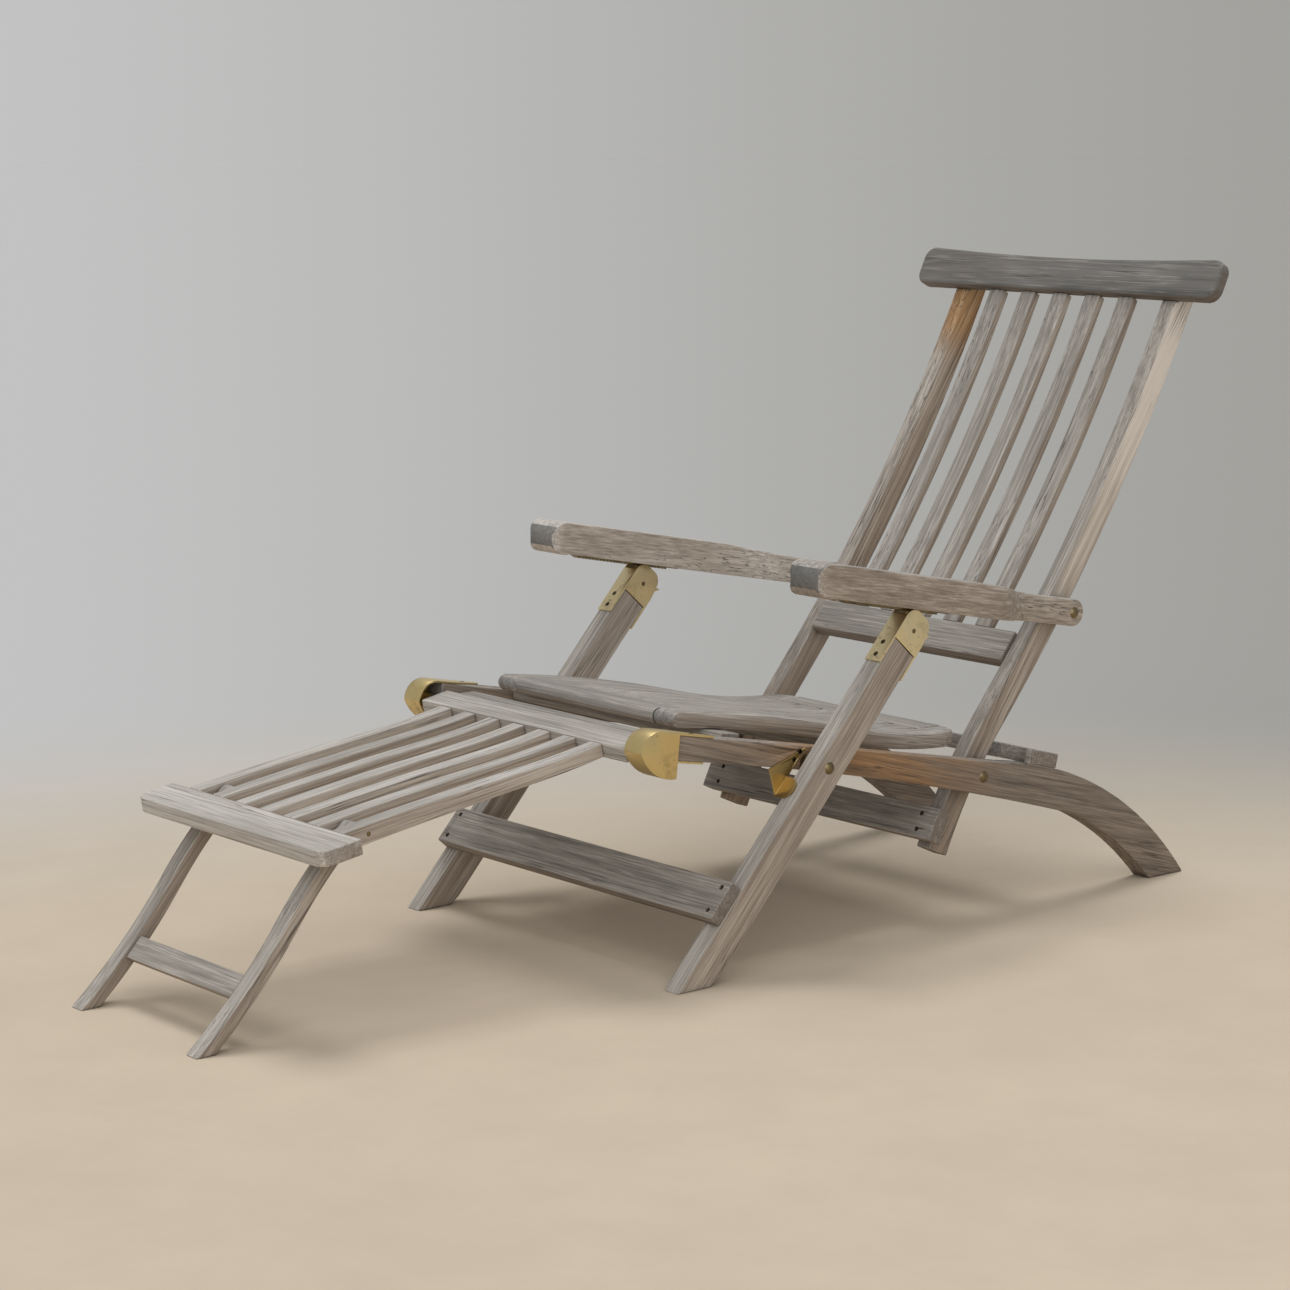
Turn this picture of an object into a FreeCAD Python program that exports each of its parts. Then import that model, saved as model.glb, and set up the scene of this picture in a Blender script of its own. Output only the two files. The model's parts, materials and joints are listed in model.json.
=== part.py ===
import FreeCAD, Part
import math
import os

os.makedirs("parts", exist_ok=True)

# Folding deck chair in teak with brass fittings. Sizes are in millimetres.
# X runs across the chair, the foot end lies towards -Y and the head end towards +Y, Z is up.
# Side-view places are (y, z): y from the leading edge of the front feet, z from the floor.
ORIGIN_Y = 196.6

# Side rails, which run from the leg-rest hinge to the rear feet.
RAIL_SPREAD = 440.4
RAIL_THICK = 30.0
RAIL_FRONT_TOP = (12.0, 302.4)
RAIL_TOP_BEND = (585.0, 192.6)
RAIL_TOP_SWEEP = (793.0, 117.0)
REAR_FOOT_HEEL_Y = 921.0
REAR_FOOT_TOE_Y = 855.0
RAIL_INSTEP = (784.0, 63.0)
RAIL_KNEE = (705.0, 109.5)
RAIL_BELLY = (380.0, 197.0)
RAIL_FRONT_BOTTOM = (12.0, 271.0)

# Cross members of the frame.
FRONT_CROSS_Y = 27.0
FRONT_CROSS_WIDE = 34.0
FRONT_CROSS_TOP = 287.0
FRONT_CROSS_DEEP = 18.0
BEARER_WIDE = 30.0
BEARER_DEEP = 16.0
BEARER_ALONG = (40.0, 245.0)
BEARER_FREE = 0.1
REAR_BOARD_Y = 620.0
REAR_BOARD_WIDE = 50.0
REAR_BOARD_THICK = 19.0
REAR_BOARD_NOTCH_R = 33.0
REAR_BOARD_SCREW_Y = 660.0

# Seat panel: boards of one side profile, with a round nose at the front.
SEAT_HALF_WIDTH = 175.0
SEAT_SIDE_WIDE = 40.0
SEAT_SLAT_COUNT = 6
SEAT_SLAT_GAP = 4.0
SEAT_NOSE = (86.0, 300.5)
SEAT_THICK = 20.5
SEAT_HEADING = -7.0
SEAT_BENDS = ((290.0, -8.0), (190.0, 15.0))
SEAT_FRONT_RAIL_LONG = 34.0
SEAT_REAR_RAIL_LONG = 40.0
SEAT_CORNER_R = 30.0

# Front legs, set outside the rails.
LEG_SPREAD = 520.0
LEG_THICK = 26.0
LEG_DEPTH = 42.0
LEG_LEAN = 48.2
LEG_LONG = 516.5
LEG_FOOT_LONG = 50.0
LEG_HEEL_RISE = 9.0
LEG_PIVOT_ALONG = 335.5
LEG_PIVOT_DEEP = 18.5
LEG_STRETCHER_ALONG = 95.0
LEG_STRETCHER_WIDE = 52.0
LEG_STRETCHER_THICK = 18.0

# Brass catch that caps each front leg, and the sprung trigger inside it.
BRASS_THICK = 2.5
CATCH_CHEEK_LOW = 517.5
CATCH_FRONT_LOW = 479.5
CATCH_REAR_LOW = 483.0
CATCH_TOP = 565.0
CATCH_ROUND = 16.0
CATCH_REAR_TOP = 534.0
CATCH_SCREWS_ALONG = (489.0, 507.0)
TRIGGER_THICK = 12.0
TRIGGER_PIVOT = (541.0, 20.0)
TRIGGER_PIN_R = 3.0
TRIGGER_HUB = ((533.0, 29.0), (531.5, 17.0), (537.0, 11.0))
TRIGGER_NOSE_DEEP = (13.0, 24.0)
TRIGGER_SPUR_TIP = (555.0, 54.0)
TRIGGER_SPUR_ROOTS = ((551.0, 36.0), (541.0, 43.0))
TRIGGER_FREE = 1.9

# Brass stop that holds each front leg from splaying forward.
STOP_LOW = 274.0
STOP_HIGH = 347.0
STOP_APEX = (294.0, -31.0)
STOP_DISC_R = 14.5
STOP_DISC_REACH = 26.0
STOP_GAP = 0.2
STOP_SCREWS = ((325.0, -6.0), (338.0, -4.5))

# Brass hinge cups on the front ends of the rails, and the leg-rest pins in them.
REST_PIVOT = (0.0, 280.0)
REST_PIN_R = 5.0
REST_PIN_SET = 25.0
CUP_REAR_Y = 34.0
CUP_BROW_Y = 5.0
CUP_BROW = (-16.5, 299.0)
CUP_NOSE = (-24.5, 282.0)
CUP_CHIN = (-9.5, 260.5)
CUP_BOTTOM_REAR = (28.0, 247.0)
CUP_BOSS_R = 9.0
CUP_BOSS_LONG = 26.0
CUP_BORE_DEEP = 22.0
CUP_TOP_FLANGE_END = 86.0
CUP_BOTTOM_FLANGE_END = 71.0
CUP_FLANGE_TIP_WIDE = 8.0
CUP_SCREW_TOP = (227.0, 58.0)
CUP_SCREW_LOW = (219.0, 50.0)

# Leg rest: hinge rail, bent slats and a foot board.
REST_RAIL_HALF = 203.0
REST_RAIL_WIDE = 41.0
REST_RAIL_DEEP = 19.0
REST_SLAT_COUNT = 7
REST_SLAT_PITCH = 50.0
REST_SLAT_WIDE = 22.0
REST_SLAT_DROP = 1.0
REST_SLAT_REAR_THICK = 17.0
REST_SLAT_FRONT_THICK = 23.0
REST_HEADING = 191.4
REST_BENDS = ((110.0, -4.5), (261.0, 2.5))
FOOT_BOARD_HALF = 197.0
FOOT_BOARD_WIDE = 54.0
FOOT_BOARD_THICK = 18.5
FOOT_BOARD_CORNER_R = 18.0

# Legs of the leg rest, pivoted inside its outer slats.
REST_LEG_SPREAD = 250.0
REST_LEG_WIDE = 23.0
REST_LEG_DEPTH = 17.0
REST_LEG_PIVOT = (-354.0, 224.0)
REST_LEG_HEADING = 221.5
REST_LEG_BENDS = ((125.0, 13.0), (190.0, -14.0))
REST_LEG_STRETCHER_ALONG = 200.0
REST_LEG_STRETCHER_WIDE = 30.0
REST_LEG_STRETCHER_THICK = 10.0
REST_BOLT_R = 3.0

# Back: two bent posts that follow one line, walked from the bottom upwards.
POST_THICK = 23.0
POST_DEPTH = 34.0
POST_GAP = 1.2
BACK_START = (488.6, 84.5)
BACK_HEADING = 66.0
BACK_BENDS = ((196.0, -16.5), (612.0, 14.0))
BACK_PIVOT = (538.0, 181.0)
BACK_STRETCHER_ALONG = 8.0
BACK_STRETCHER_WIDE = 40.0
BACK_STRETCHER_THICK = 22.0
BACK_STRETCHER_HALF = 220.0
LOW_RAIL_ALONG = 264.0
LOW_RAIL_WIDE = 44.0
LOW_RAIL_THICK = 22.0
BACK_SLAT_COUNT = 5
BACK_SLAT_PITCH = 60.0
BACK_SLAT_WIDE = 26.0
BACK_SLAT_THICK = 12.0
BACK_SLAT_PROUD = 5.0
HEAD_HALF = 276.0
HEAD_HIGH = 56.0
HEAD_DIP = 7.0
HEAD_THICK = 20.0
HEAD_PROUD = 14.0
HEAD_CORNER_R = 17.0
HEAD_EDGE_R = 5.0
HEAD_LAP = 38.0

# Arms: wide at the front, drawn in to a round tail beside the post.
ARM_PIVOT = (700.0, 375.0)
ARM_TAIL_THICK = 28.0
ARM_TAIL_GAP = 2.0
ARM_TAIL_R = 17.5
ARM_TAIL_HEADING = -10.0
ARM_WIDE = 60.0
ARM_OUTER = 285.0
ARM_NOSE = (208.0, 467.0)
ARM_TOP_FRONT = (230.0, 487.0)
ARM_TOP_REAR = (511.0, 434.0)
ARM_TOP_NECK = (608.0, 410.0)
ARM_UNDER_FRONT = (233.0, 444.5)
ARM_UNDER_REAR = (512.0, 391.0)
ARM_BEND_START = 505.0
ARM_BEND_END = 625.0
ARM_NOSE_CORNER_R = 14.0
ARM_BOLT_PLAY = 2.8
ARM_WASHER_THICK = 2.0

# Brass rack let into the underside of each arm.
RACK_START = 268.0
RACK_END = 441.0
RACK_WIDE = 14.0
RACK_LET_IN = 2.0
RACK_BODY = 1.5
RACK_TOOTH_DEEP = 2.5
RACK_TOOTH_PITCH = 6.0
RACK_PLAIN_END = 20.0

# Bolts and screws.
BOLT_R = 4.0
BOLT_HEAD_R = 7.5
BOLT_HEAD_HIGH = 4.0
BOLT_NUT_R = 7.0
BOLT_NUT_HIGH = 4.0
BOLT_RUNNING = 0.05
SPACER_R = 14.0
SPACER_FREE = 0.1
SCREW_R = 2.0
SCREW_HEAD_R = 3.4
SCREW_HEAD_HIGH = 1.5
SCREW_LONG = 24.0
SCREW_SUNK = 3.0
SCREW_FREE = 0.05
STRETCHER_SCREW_INSET = 10.0

# Sizes that follow from the ones above.
RAIL_INNER = (RAIL_SPREAD - RAIL_THICK) / 2
RAIL_OUTER = RAIL_INNER + RAIL_THICK
POST_OUTER = RAIL_INNER - POST_GAP
POST_INNER = POST_OUTER - POST_THICK
LEG_INNER = (LEG_SPREAD - LEG_THICK) / 2
LEG_OUTER = LEG_INNER + LEG_THICK
LEG_CENTRE = LEG_SPREAD / 2
ARM_TAIL_INNER = POST_OUTER + ARM_TAIL_GAP
ARM_TAIL_OUTER = ARM_TAIL_INNER + ARM_TAIL_THICK


def vector(x, place):
    """A point in space from a distance across the chair and a side-view place."""
    return FreeCAD.Vector(x, place[0], place[1])


def step_along(place, heading, length, turn):
    """Place and heading at the end of one stretch, straight or bent by some degrees."""
    angle = math.radians(heading)
    if turn == 0:
        end = (place[0] + length * math.cos(angle), place[1] + length * math.sin(angle))
        return end, heading
    radius = length / math.radians(turn)
    last = math.radians(heading + turn)
    y = place[0] + radius * (math.sin(last) - math.sin(angle))
    z = place[1] - radius * (math.cos(last) - math.cos(angle))
    return (y, z), heading + turn


def beside(place, heading, distance):
    """The place some distance to the left of a heading."""
    angle = math.radians(heading)
    return place[0] - distance * math.sin(angle), place[1] + distance * math.cos(angle)


def trimmed(bends, first, last):
    """The stretches of a bent line that lie between two distances along it, and the lead-in before them."""
    lead, kept = [], []
    walked = 0.0
    for length, turn in bends:
        low = min(max(first - walked, 0.0), length)
        high = min(max(last - walked, 0.0), length)
        if low > 0:
            lead.append((low, turn * low / length))
        if high > low:
            kept.append((high - low, turn * (high - low) / length))
        walked += length
    return lead, kept


def walk(place, heading, bends):
    """Place and heading at the end of a run of stretches."""
    for length, turn in bends:
        place, heading = step_along(place, heading, length, turn)
    return place, heading


def side_edge(place, heading, length, turn, offsets):
    """One edge beside a stretch, at an offset that may change evenly from its start to its end."""
    start = vector(0, beside(place, heading, offsets[0]))
    middle_place, middle_heading = step_along(place, heading, length / 2, turn / 2)
    middle = vector(0, beside(middle_place, middle_heading, (offsets[0] + offsets[1]) / 2))
    end_place, end_heading = step_along(place, heading, length, turn)
    end = vector(0, beside(end_place, end_heading, offsets[1]))
    if turn == 0:
        return Part.LineSegment(start, end).toShape()
    return Part.Arc(start, middle, end).toShape()


def bar_face(place, heading, bends, left, right):
    """The side-view face of a bent bar between a left and a right offset, each (start, end)."""
    total = sum(length for length, turn in bends)
    left_edges, right_edges = [], []
    walked = 0.0
    for length, turn in bends:
        shares = (walked / total, (walked + length) / total)
        for edges, pair in ((left_edges, left), (right_edges, right)):
            offsets = [pair[0] + (pair[1] - pair[0]) * share for share in shares]
            edges.append(side_edge(place, heading, length, turn, offsets))
        place, heading = step_along(place, heading, length, turn)
        walked += length
    caps = []
    for corner in (0, -1):
        ends = [edges[corner].Vertexes[corner].Point for edges in (left_edges, right_edges)]
        caps.append(Part.LineSegment(ends[0], ends[1]).toShape())
    return Part.Face(Part.Wire(Part.__sortEdges__(left_edges + right_edges + caps)))


def outline(start, *moves):
    """A side-view face from a start and moves: a place to go straight, or a pair to go by an arc."""
    edges = []
    here = vector(0, start)
    for move in moves:
        if isinstance(move[0], tuple):
            there = vector(0, move[1])
            edges.append(Part.Arc(here, vector(0, move[0]), there).toShape())
        else:
            there = vector(0, move)
            edges.append(Part.LineSegment(here, there).toShape())
        here = there
    if here.distanceToPoint(vector(0, start)) > 1e-6:
        edges.append(Part.LineSegment(here, vector(0, start)).toShape())
    return Part.Face(Part.Wire(edges))


def across(face, low, high):
    """A side-view face made solid between two distances across the chair."""
    solid = face.extrude(FreeCAD.Vector(high - low, 0, 0))
    solid.translate(FreeCAD.Vector(low, 0, 0))
    return solid


def rod(place, low, high, radius):
    """A round rod across the chair."""
    return Part.makeCylinder(radius, high - low, vector(low, place), FreeCAD.Vector(1, 0, 0))


def mirrored(shape):
    """The same piece on the other side of the chair."""
    return shape.mirror(FreeCAD.Vector(), FreeCAD.Vector(1, 0, 0))


def pair(name, shape):
    """Left and right nodes from a right-hand piece."""
    return {name + "_left": mirrored(shape), name + "_right": shape}


def both(shapes):
    """One node that holds right-hand pieces and their mirror images."""
    return Part.makeCompound([copy for shape in shapes for copy in (shape, mirrored(shape))])


def leg_place(along, deep):
    """A place on the front leg: along it from the foot, and back from its front face."""
    angle = math.radians(LEG_LEAN)
    y = along * math.cos(angle) + deep * math.sin(angle)
    z = along * math.sin(angle) - deep * math.cos(angle)
    return y, z


def bolt(place, head_face, nut_face, nut_out):
    """A through bolt with a domed head outside and a round nut inside its nut face."""
    low = nut_face - (BOLT_NUT_HIGH if nut_out else 0)
    shank = rod(place, low, head_face, BOLT_R)
    dome_r = (BOLT_HEAD_R ** 2 + BOLT_HEAD_HIGH ** 2) / (2 * BOLT_HEAD_HIGH)
    ball = Part.makeSphere(dome_r, vector(head_face + BOLT_HEAD_HIGH - dome_r, place))
    head = ball.common(rod(place, head_face, head_face + BOLT_HEAD_HIGH, BOLT_HEAD_R))
    shape = shank.fuse(head)
    if nut_out:
        shape = shape.fuse(rod(place, low, nut_face, BOLT_NUT_R))
    return shape.removeSplitter()


def bored(shape, place, radius):
    """A piece with a hole right across it."""
    box = shape.BoundBox
    return shape.cut(rod(place, box.XMin - 1, box.XMax + 1, radius))


def screw(head, direction):
    """A wood screw: a flat head at a point and a shank that runs in along a direction."""
    shank = Part.makeCylinder(SCREW_R, SCREW_LONG, head, direction)
    return shank.fuse(Part.makeCylinder(SCREW_HEAD_R, SCREW_HEAD_HIGH, head, direction))


def screw_hole(head, direction):
    """The space that a sunk screw needs, open at the face that it went in by."""
    shank = Part.makeCylinder(SCREW_R + SCREW_FREE, SCREW_LONG + SCREW_FREE, head, direction)
    start = head - direction * (SCREW_SUNK + 1)
    deep = SCREW_SUNK + 1 + SCREW_HEAD_HIGH
    return shank.fuse(Part.makeCylinder(SCREW_HEAD_R + SCREW_FREE, deep, start, direction))


LEG_PIVOT = leg_place(LEG_PIVOT_ALONG, LEG_PIVOT_DEEP)
LEG_INWARD = vector(0, leg_place(0, 1))
POST_CENTRE = (POST_INNER + POST_OUTER) / 2
RAIL_CENTRE = (RAIL_INNER + RAIL_OUTER) / 2
CUP_OUTER = RAIL_OUTER + BRASS_THICK
SEAT_LONG = sum(length for length, turn in SEAT_BENDS)
SEAT_OPENING = SEAT_HALF_WIDTH - SEAT_SIDE_WIDE
BACK_LONG = sum(length for length, turn in BACK_BENDS)
RAIL_SWEEP_ENDS = (RAIL_TOP_BEND, RAIL_TOP_SWEEP, (REAR_FOOT_HEEL_Y, 0))
RAIL_SWEEP = Part.Circle(*[vector(0, place) for place in RAIL_SWEEP_ENDS])
RAIL_TOP_SLOPE = (RAIL_TOP_BEND[1] - RAIL_FRONT_TOP[1]) / (RAIL_TOP_BEND[0] - RAIL_FRONT_TOP[0])


def rail_top(y):
    """Height of the straight top of the rail."""
    return RAIL_FRONT_TOP[1] + RAIL_TOP_SLOPE * (y - RAIL_FRONT_TOP[0])


def side_rail():
    """Rail with a straight top that sweeps down to the rear foot, and a knee under it."""
    face = outline(
        RAIL_FRONT_TOP, RAIL_TOP_BEND,
        (RAIL_TOP_SWEEP, (REAR_FOOT_HEEL_Y, 0.0)), (REAR_FOOT_TOE_Y, 0.0),
        (RAIL_INSTEP, RAIL_KNEE), (RAIL_BELLY, RAIL_FRONT_BOTTOM))
    rail = across(face, RAIL_INNER, RAIL_OUTER)
    for place in (LEG_PIVOT, BACK_PIVOT):
        rail = bored(rail, place, BOLT_R + BOLT_RUNNING)
    return rail


def turned(shape, thick_way, first_way, second_way, place):
    """A piece drawn in side view, with its thickness and drawing axes laid along three other ways."""
    columns = (thick_way, first_way, second_way, place)
    rows = [[getattr(column, axis) for column in columns] for axis in "xyz"]
    return shape.transformed(FreeCAD.Matrix(*rows[0], *rows[1], *rows[2], 0, 0, 0, 1))


def plan_block(low, high, start, *moves):
    """A plan-view outline of (x, y) places made solid between two heights."""
    block = across(outline(start, *moves), low, high)
    x_way, y_way, z_way = FreeCAD.Vector(1, 0, 0), FreeCAD.Vector(0, 1, 0), FreeCAD.Vector(0, 0, 1)
    return turned(block, z_way, x_way, y_way, FreeCAD.Vector())


def around(centre, radius, degrees):
    """A place on a circle."""
    angle = math.radians(degrees)
    return centre[0] + radius * math.cos(angle), centre[1] + radius * math.sin(angle)


def inward_of(place, centre, distance):
    """A place moved some distance towards a centre."""
    way = vector(0, centre) - vector(0, place)
    share = distance / way.Length
    return place[0] + way.y * share, place[1] + way.z * share


def edge_between(shape, first, second):
    """The edge of a piece that joins two points."""
    for edge in shape.Edges:
        ends = [vertex.Point for vertex in edge.Vertexes]
        gaps = [min(end.distanceToPoint(point) for end in ends) for point in (first, second)]
        if max(gaps) < 1e-3:
            return edge


def tube(place, low, high):
    """A spacer or washer round a bolt."""
    return bored(rod(place, low, high, SPACER_R), place, BOLT_R + BOLT_RUNNING)


def drilled(shape, screws):
    """A piece with the holes of some screws."""
    return shape.cut([screw_hole(head, direction) for head, direction in screws])


def drilled_both(shape, screws):
    """A piece that spans the chair, with the holes of some screws on both sides."""
    return shape.cut([both([screw_hole(head, direction)]) for head, direction in screws])


def rail_sweep(y):
    """Height of the swept rear part of the rail's top."""
    return RAIL_SWEEP.Center.z + math.sqrt(RAIL_SWEEP.Radius ** 2 - (y - RAIL_SWEEP.Center.y) ** 2)


def front_cross_rail():
    """Flat rail between the side rails, behind the leg-rest hinge."""
    corner = FreeCAD.Vector(-RAIL_INNER, FRONT_CROSS_Y, FRONT_CROSS_TOP - FRONT_CROSS_DEEP)
    return Part.makeBox(2 * RAIL_INNER, FRONT_CROSS_WIDE, FRONT_CROSS_DEEP, corner)


def rear_board_line():
    """Start, heading and length of the chord that the rear board lies on."""
    ends = [(y, rail_sweep(y)) for y in (REAR_BOARD_Y, REAR_BOARD_Y + REAR_BOARD_WIDE)]
    rise = ends[1][1] - ends[0][1]
    return ends[0], math.degrees(math.atan2(rise, REAR_BOARD_WIDE)), math.hypot(rise, REAR_BOARD_WIDE)


def rear_cross_board(rails):
    """Board bedded on the rail tops, with a round notch that clears each post."""
    place, heading, length = rear_board_line()
    face = bar_face(place, heading, ((length, 0),), (REAR_BOARD_THICK,) * 2, (0, 0))
    board = across(face, -RAIL_OUTER, RAIL_OUTER)
    high = 2 * RAIL_FRONT_TOP[1]
    notch = Part.makeCylinder(REAR_BOARD_NOTCH_R, high, FreeCAD.Vector(POST_CENTRE, REAR_BOARD_Y, 0))
    return board.cut([both([notch])] + rails)


def rear_board_screws():
    """One screw through the rear board into each rail."""
    place, heading, length = rear_board_line()
    along = (REAR_BOARD_SCREW_Y - REAR_BOARD_Y) / math.cos(math.radians(heading))
    on_line, heading = step_along(place, heading, along, 0)
    head = beside(on_line, heading, REAR_BOARD_THICK - SCREW_SUNK)
    return [(vector(RAIL_CENTRE, head), vector(0, beside((0, 0), heading, -1)))]


def seat_board(first, last, low, high):
    """One board of the seat: a stretch of the bent profile between two distances across."""
    lead, kept = trimmed(SEAT_BENDS, first, last)
    place, heading = walk(SEAT_NOSE, SEAT_HEADING, lead)
    half = SEAT_THICK / 2
    board = across(bar_face(place, heading, kept, (half, half), (-half, -half)), low, high)
    if first == 0:
        board = board.fuse(rod(SEAT_NOSE, low, high, half)).removeSplitter()
    return board


def seat_side():
    """Long side board of the seat, with its rear outer corner rounded in plan."""
    board = seat_board(0, SEAT_LONG, SEAT_OPENING, SEAT_HALF_WIDTH)
    end, heading = walk(SEAT_NOSE, SEAT_HEADING, SEAT_BENDS)
    corners = [vector(SEAT_HALF_WIDTH, beside(end, heading, side * SEAT_THICK / 2)) for side in (1, -1)]
    return board.makeFillet(SEAT_CORNER_R, [edge_between(board, *corners)])


def seat_slats():
    """Slats set between the front and rear rails of the seat."""
    pitch = 2 * SEAT_OPENING / SEAT_SLAT_COUNT
    slats = []
    for number in range(SEAT_SLAT_COUNT):
        low = -SEAT_OPENING + number * pitch + SEAT_SLAT_GAP / 2
        high = low + pitch - SEAT_SLAT_GAP
        slats.append(seat_board(SEAT_FRONT_RAIL_LONG, SEAT_LONG - SEAT_REAR_RAIL_LONG, low, high))
    return Part.makeCompound(slats)


def seat_bearer(along):
    """Cross bearer that follows the underside of the seat."""
    lead, kept = trimmed(SEAT_BENDS, along, along + BEARER_WIDE)
    place, heading = walk(SEAT_NOSE, SEAT_HEADING, lead)
    top = -SEAT_THICK / 2 - BEARER_FREE
    face = bar_face(place, heading, kept, (top, top), (top - BEARER_DEEP, top - BEARER_DEEP))
    return across(face, -RAIL_INNER, RAIL_INNER)


def front_leg():
    """Straight leg with a flat foot and a cut-back heel."""
    angle = math.radians(LEG_LEAN)
    heel_along = (LEG_HEEL_RISE + LEG_DEPTH * math.cos(angle)) / math.sin(angle)
    face = outline(
        (0.0, 0.0), (LEG_FOOT_LONG, 0.0), leg_place(heel_along, LEG_DEPTH),
        leg_place(LEG_LONG, LEG_DEPTH), leg_place(LEG_LONG, 0))
    return bored(across(face, LEG_INNER, LEG_OUTER), LEG_PIVOT, BOLT_R + BOLT_RUNNING)


def leg_block(along, deep, low, high):
    """A square block in leg measures: from one distance along and deep to another."""
    corners = [leg_place(along[i], deep[j]) for i, j in ((0, 0), (1, 0), (1, 1), (0, 1))]
    return across(outline(*corners), low, high)


def front_stretcher():
    """Board across the front faces of the front legs."""
    along = (LEG_STRETCHER_ALONG, LEG_STRETCHER_ALONG + LEG_STRETCHER_WIDE)
    return leg_block(along, (-LEG_STRETCHER_THICK, 0), -LEG_OUTER, LEG_OUTER)


def leg_screws():
    """Two screws through each end of the stretcher and two through each catch."""
    high = LEG_STRETCHER_ALONG + LEG_STRETCHER_WIDE - STRETCHER_SCREW_INSET
    sunk = -LEG_STRETCHER_THICK + SCREW_SUNK
    heads = [leg_place(along, sunk) for along in (LEG_STRETCHER_ALONG + STRETCHER_SCREW_INSET, high)]
    heads += [leg_place(along, -BRASS_THICK) for along in CATCH_SCREWS_ALONG]
    return [(vector(LEG_CENTRE, head), LEG_INWARD) for head in heads]


def catch_cheek(low):
    """One round-topped cheek of the catch."""
    front, rear = -BRASS_THICK, LEG_DEPTH
    front_centre = (CATCH_TOP - CATCH_ROUND, front + CATCH_ROUND)
    rear_centre = (CATCH_TOP - CATCH_ROUND, rear - CATCH_ROUND)
    face = outline(
        leg_place(CATCH_CHEEK_LOW, front), leg_place(front_centre[0], front),
        (leg_place(*around(front_centre, CATCH_ROUND, -45)), leg_place(CATCH_TOP, front_centre[1])),
        leg_place(CATCH_TOP, rear_centre[1]),
        (leg_place(*around(rear_centre, CATCH_ROUND, 45)), leg_place(rear_centre[0], rear)),
        leg_place(CATCH_REAR_TOP, rear + BRASS_THICK), leg_place(CATCH_CHEEK_LOW, rear + BRASS_THICK))
    return across(face, low, low + BRASS_THICK)


def leg_catch():
    """Brass cap: plates down the front and rear of the leg, and two cheeks that carry the trigger pin."""
    front = leg_block((CATCH_FRONT_LOW, CATCH_TOP - CATCH_ROUND), (-BRASS_THICK, 0), LEG_INNER, LEG_OUTER)
    behind = (LEG_DEPTH, LEG_DEPTH + BRASS_THICK)
    rear = leg_block((CATCH_REAR_LOW, CATCH_REAR_TOP), behind, LEG_INNER, LEG_OUTER)
    cheeks = [catch_cheek(LEG_INNER), catch_cheek(LEG_OUTER - BRASS_THICK)]
    catch = front.fuse([rear] + cheeks).removeSplitter()
    return bored(catch, leg_place(*TRIGGER_PIVOT), TRIGGER_PIN_R + BOLT_RUNNING)


def under_place(along, out):
    """A place on the underside of the arm: along it from the front, and out from it downwards."""
    run = ARM_UNDER_REAR[0] - ARM_UNDER_FRONT[0]
    heading = math.degrees(math.atan2(ARM_UNDER_REAR[1] - ARM_UNDER_FRONT[1], run))
    return beside(step_along(ARM_UNDER_FRONT, heading, along, 0)[0], heading, -out)


def trigger_reach(deep):
    """How far along the leg the trigger's nose may go before it meets the teeth of the rack."""
    out = RACK_BODY + RACK_TOOTH_DEEP + TRIGGER_FREE
    near, far = vector(0, under_place(0, out)), vector(0, under_place(1, out))
    way = far - near
    start, step = vector(0, leg_place(0, deep)), vector(0, leg_place(1, 0))
    return (near - start).cross(way).x / step.cross(way).x


def catch_trigger():
    """Trigger: a nose under the rack, an eye round the pin and a spur for the finger at the rear."""
    nose = [(trigger_reach(deep), deep) for deep in TRIGGER_NOSE_DEEP]
    corners = nose + [TRIGGER_SPUR_ROOTS[0], TRIGGER_SPUR_TIP, TRIGGER_SPUR_ROOTS[1]] + list(TRIGGER_HUB)
    face = outline(*[leg_place(*corner) for corner in corners])
    trigger = across(face, LEG_CENTRE - TRIGGER_THICK / 2, LEG_CENTRE + TRIGGER_THICK / 2)
    return bored(trigger, leg_place(*TRIGGER_PIVOT), TRIGGER_PIN_R + BOLT_RUNNING)


def leg_stop():
    """Brass stop: a three-cornered leaf on the rail and a half-round flange in front of the leg."""
    base = -STOP_GAP
    leaf_face = outline(leg_place(STOP_LOW, base), leg_place(STOP_HIGH, base), leg_place(*STOP_APEX))
    leaf = across(leaf_face, RAIL_OUTER, CUP_OUTER)
    reach = RAIL_OUTER + STOP_DISC_REACH - STOP_DISC_R
    centre = vector(reach, leg_place(STOP_LOW + STOP_DISC_R, base - BRASS_THICK))
    disc = Part.makeCylinder(STOP_DISC_R, BRASS_THICK, centre, LEG_INWARD)
    along, deep = (STOP_LOW, STOP_LOW + 2 * STOP_DISC_R), (base - BRASS_THICK, base)
    square = leg_block(along, deep, RAIL_OUTER, reach)
    tip = disc.common(leg_block(along, deep, reach, reach + STOP_DISC_R))
    return leaf.fuse([square, tip]).removeSplitter()


def stop_screws():
    """Two screws through the leaf of the stop into the rail."""
    inward = FreeCAD.Vector(-1, 0, 0)
    return [(vector(CUP_OUTER, leg_place(*place)), inward) for place in STOP_SCREWS]


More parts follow.
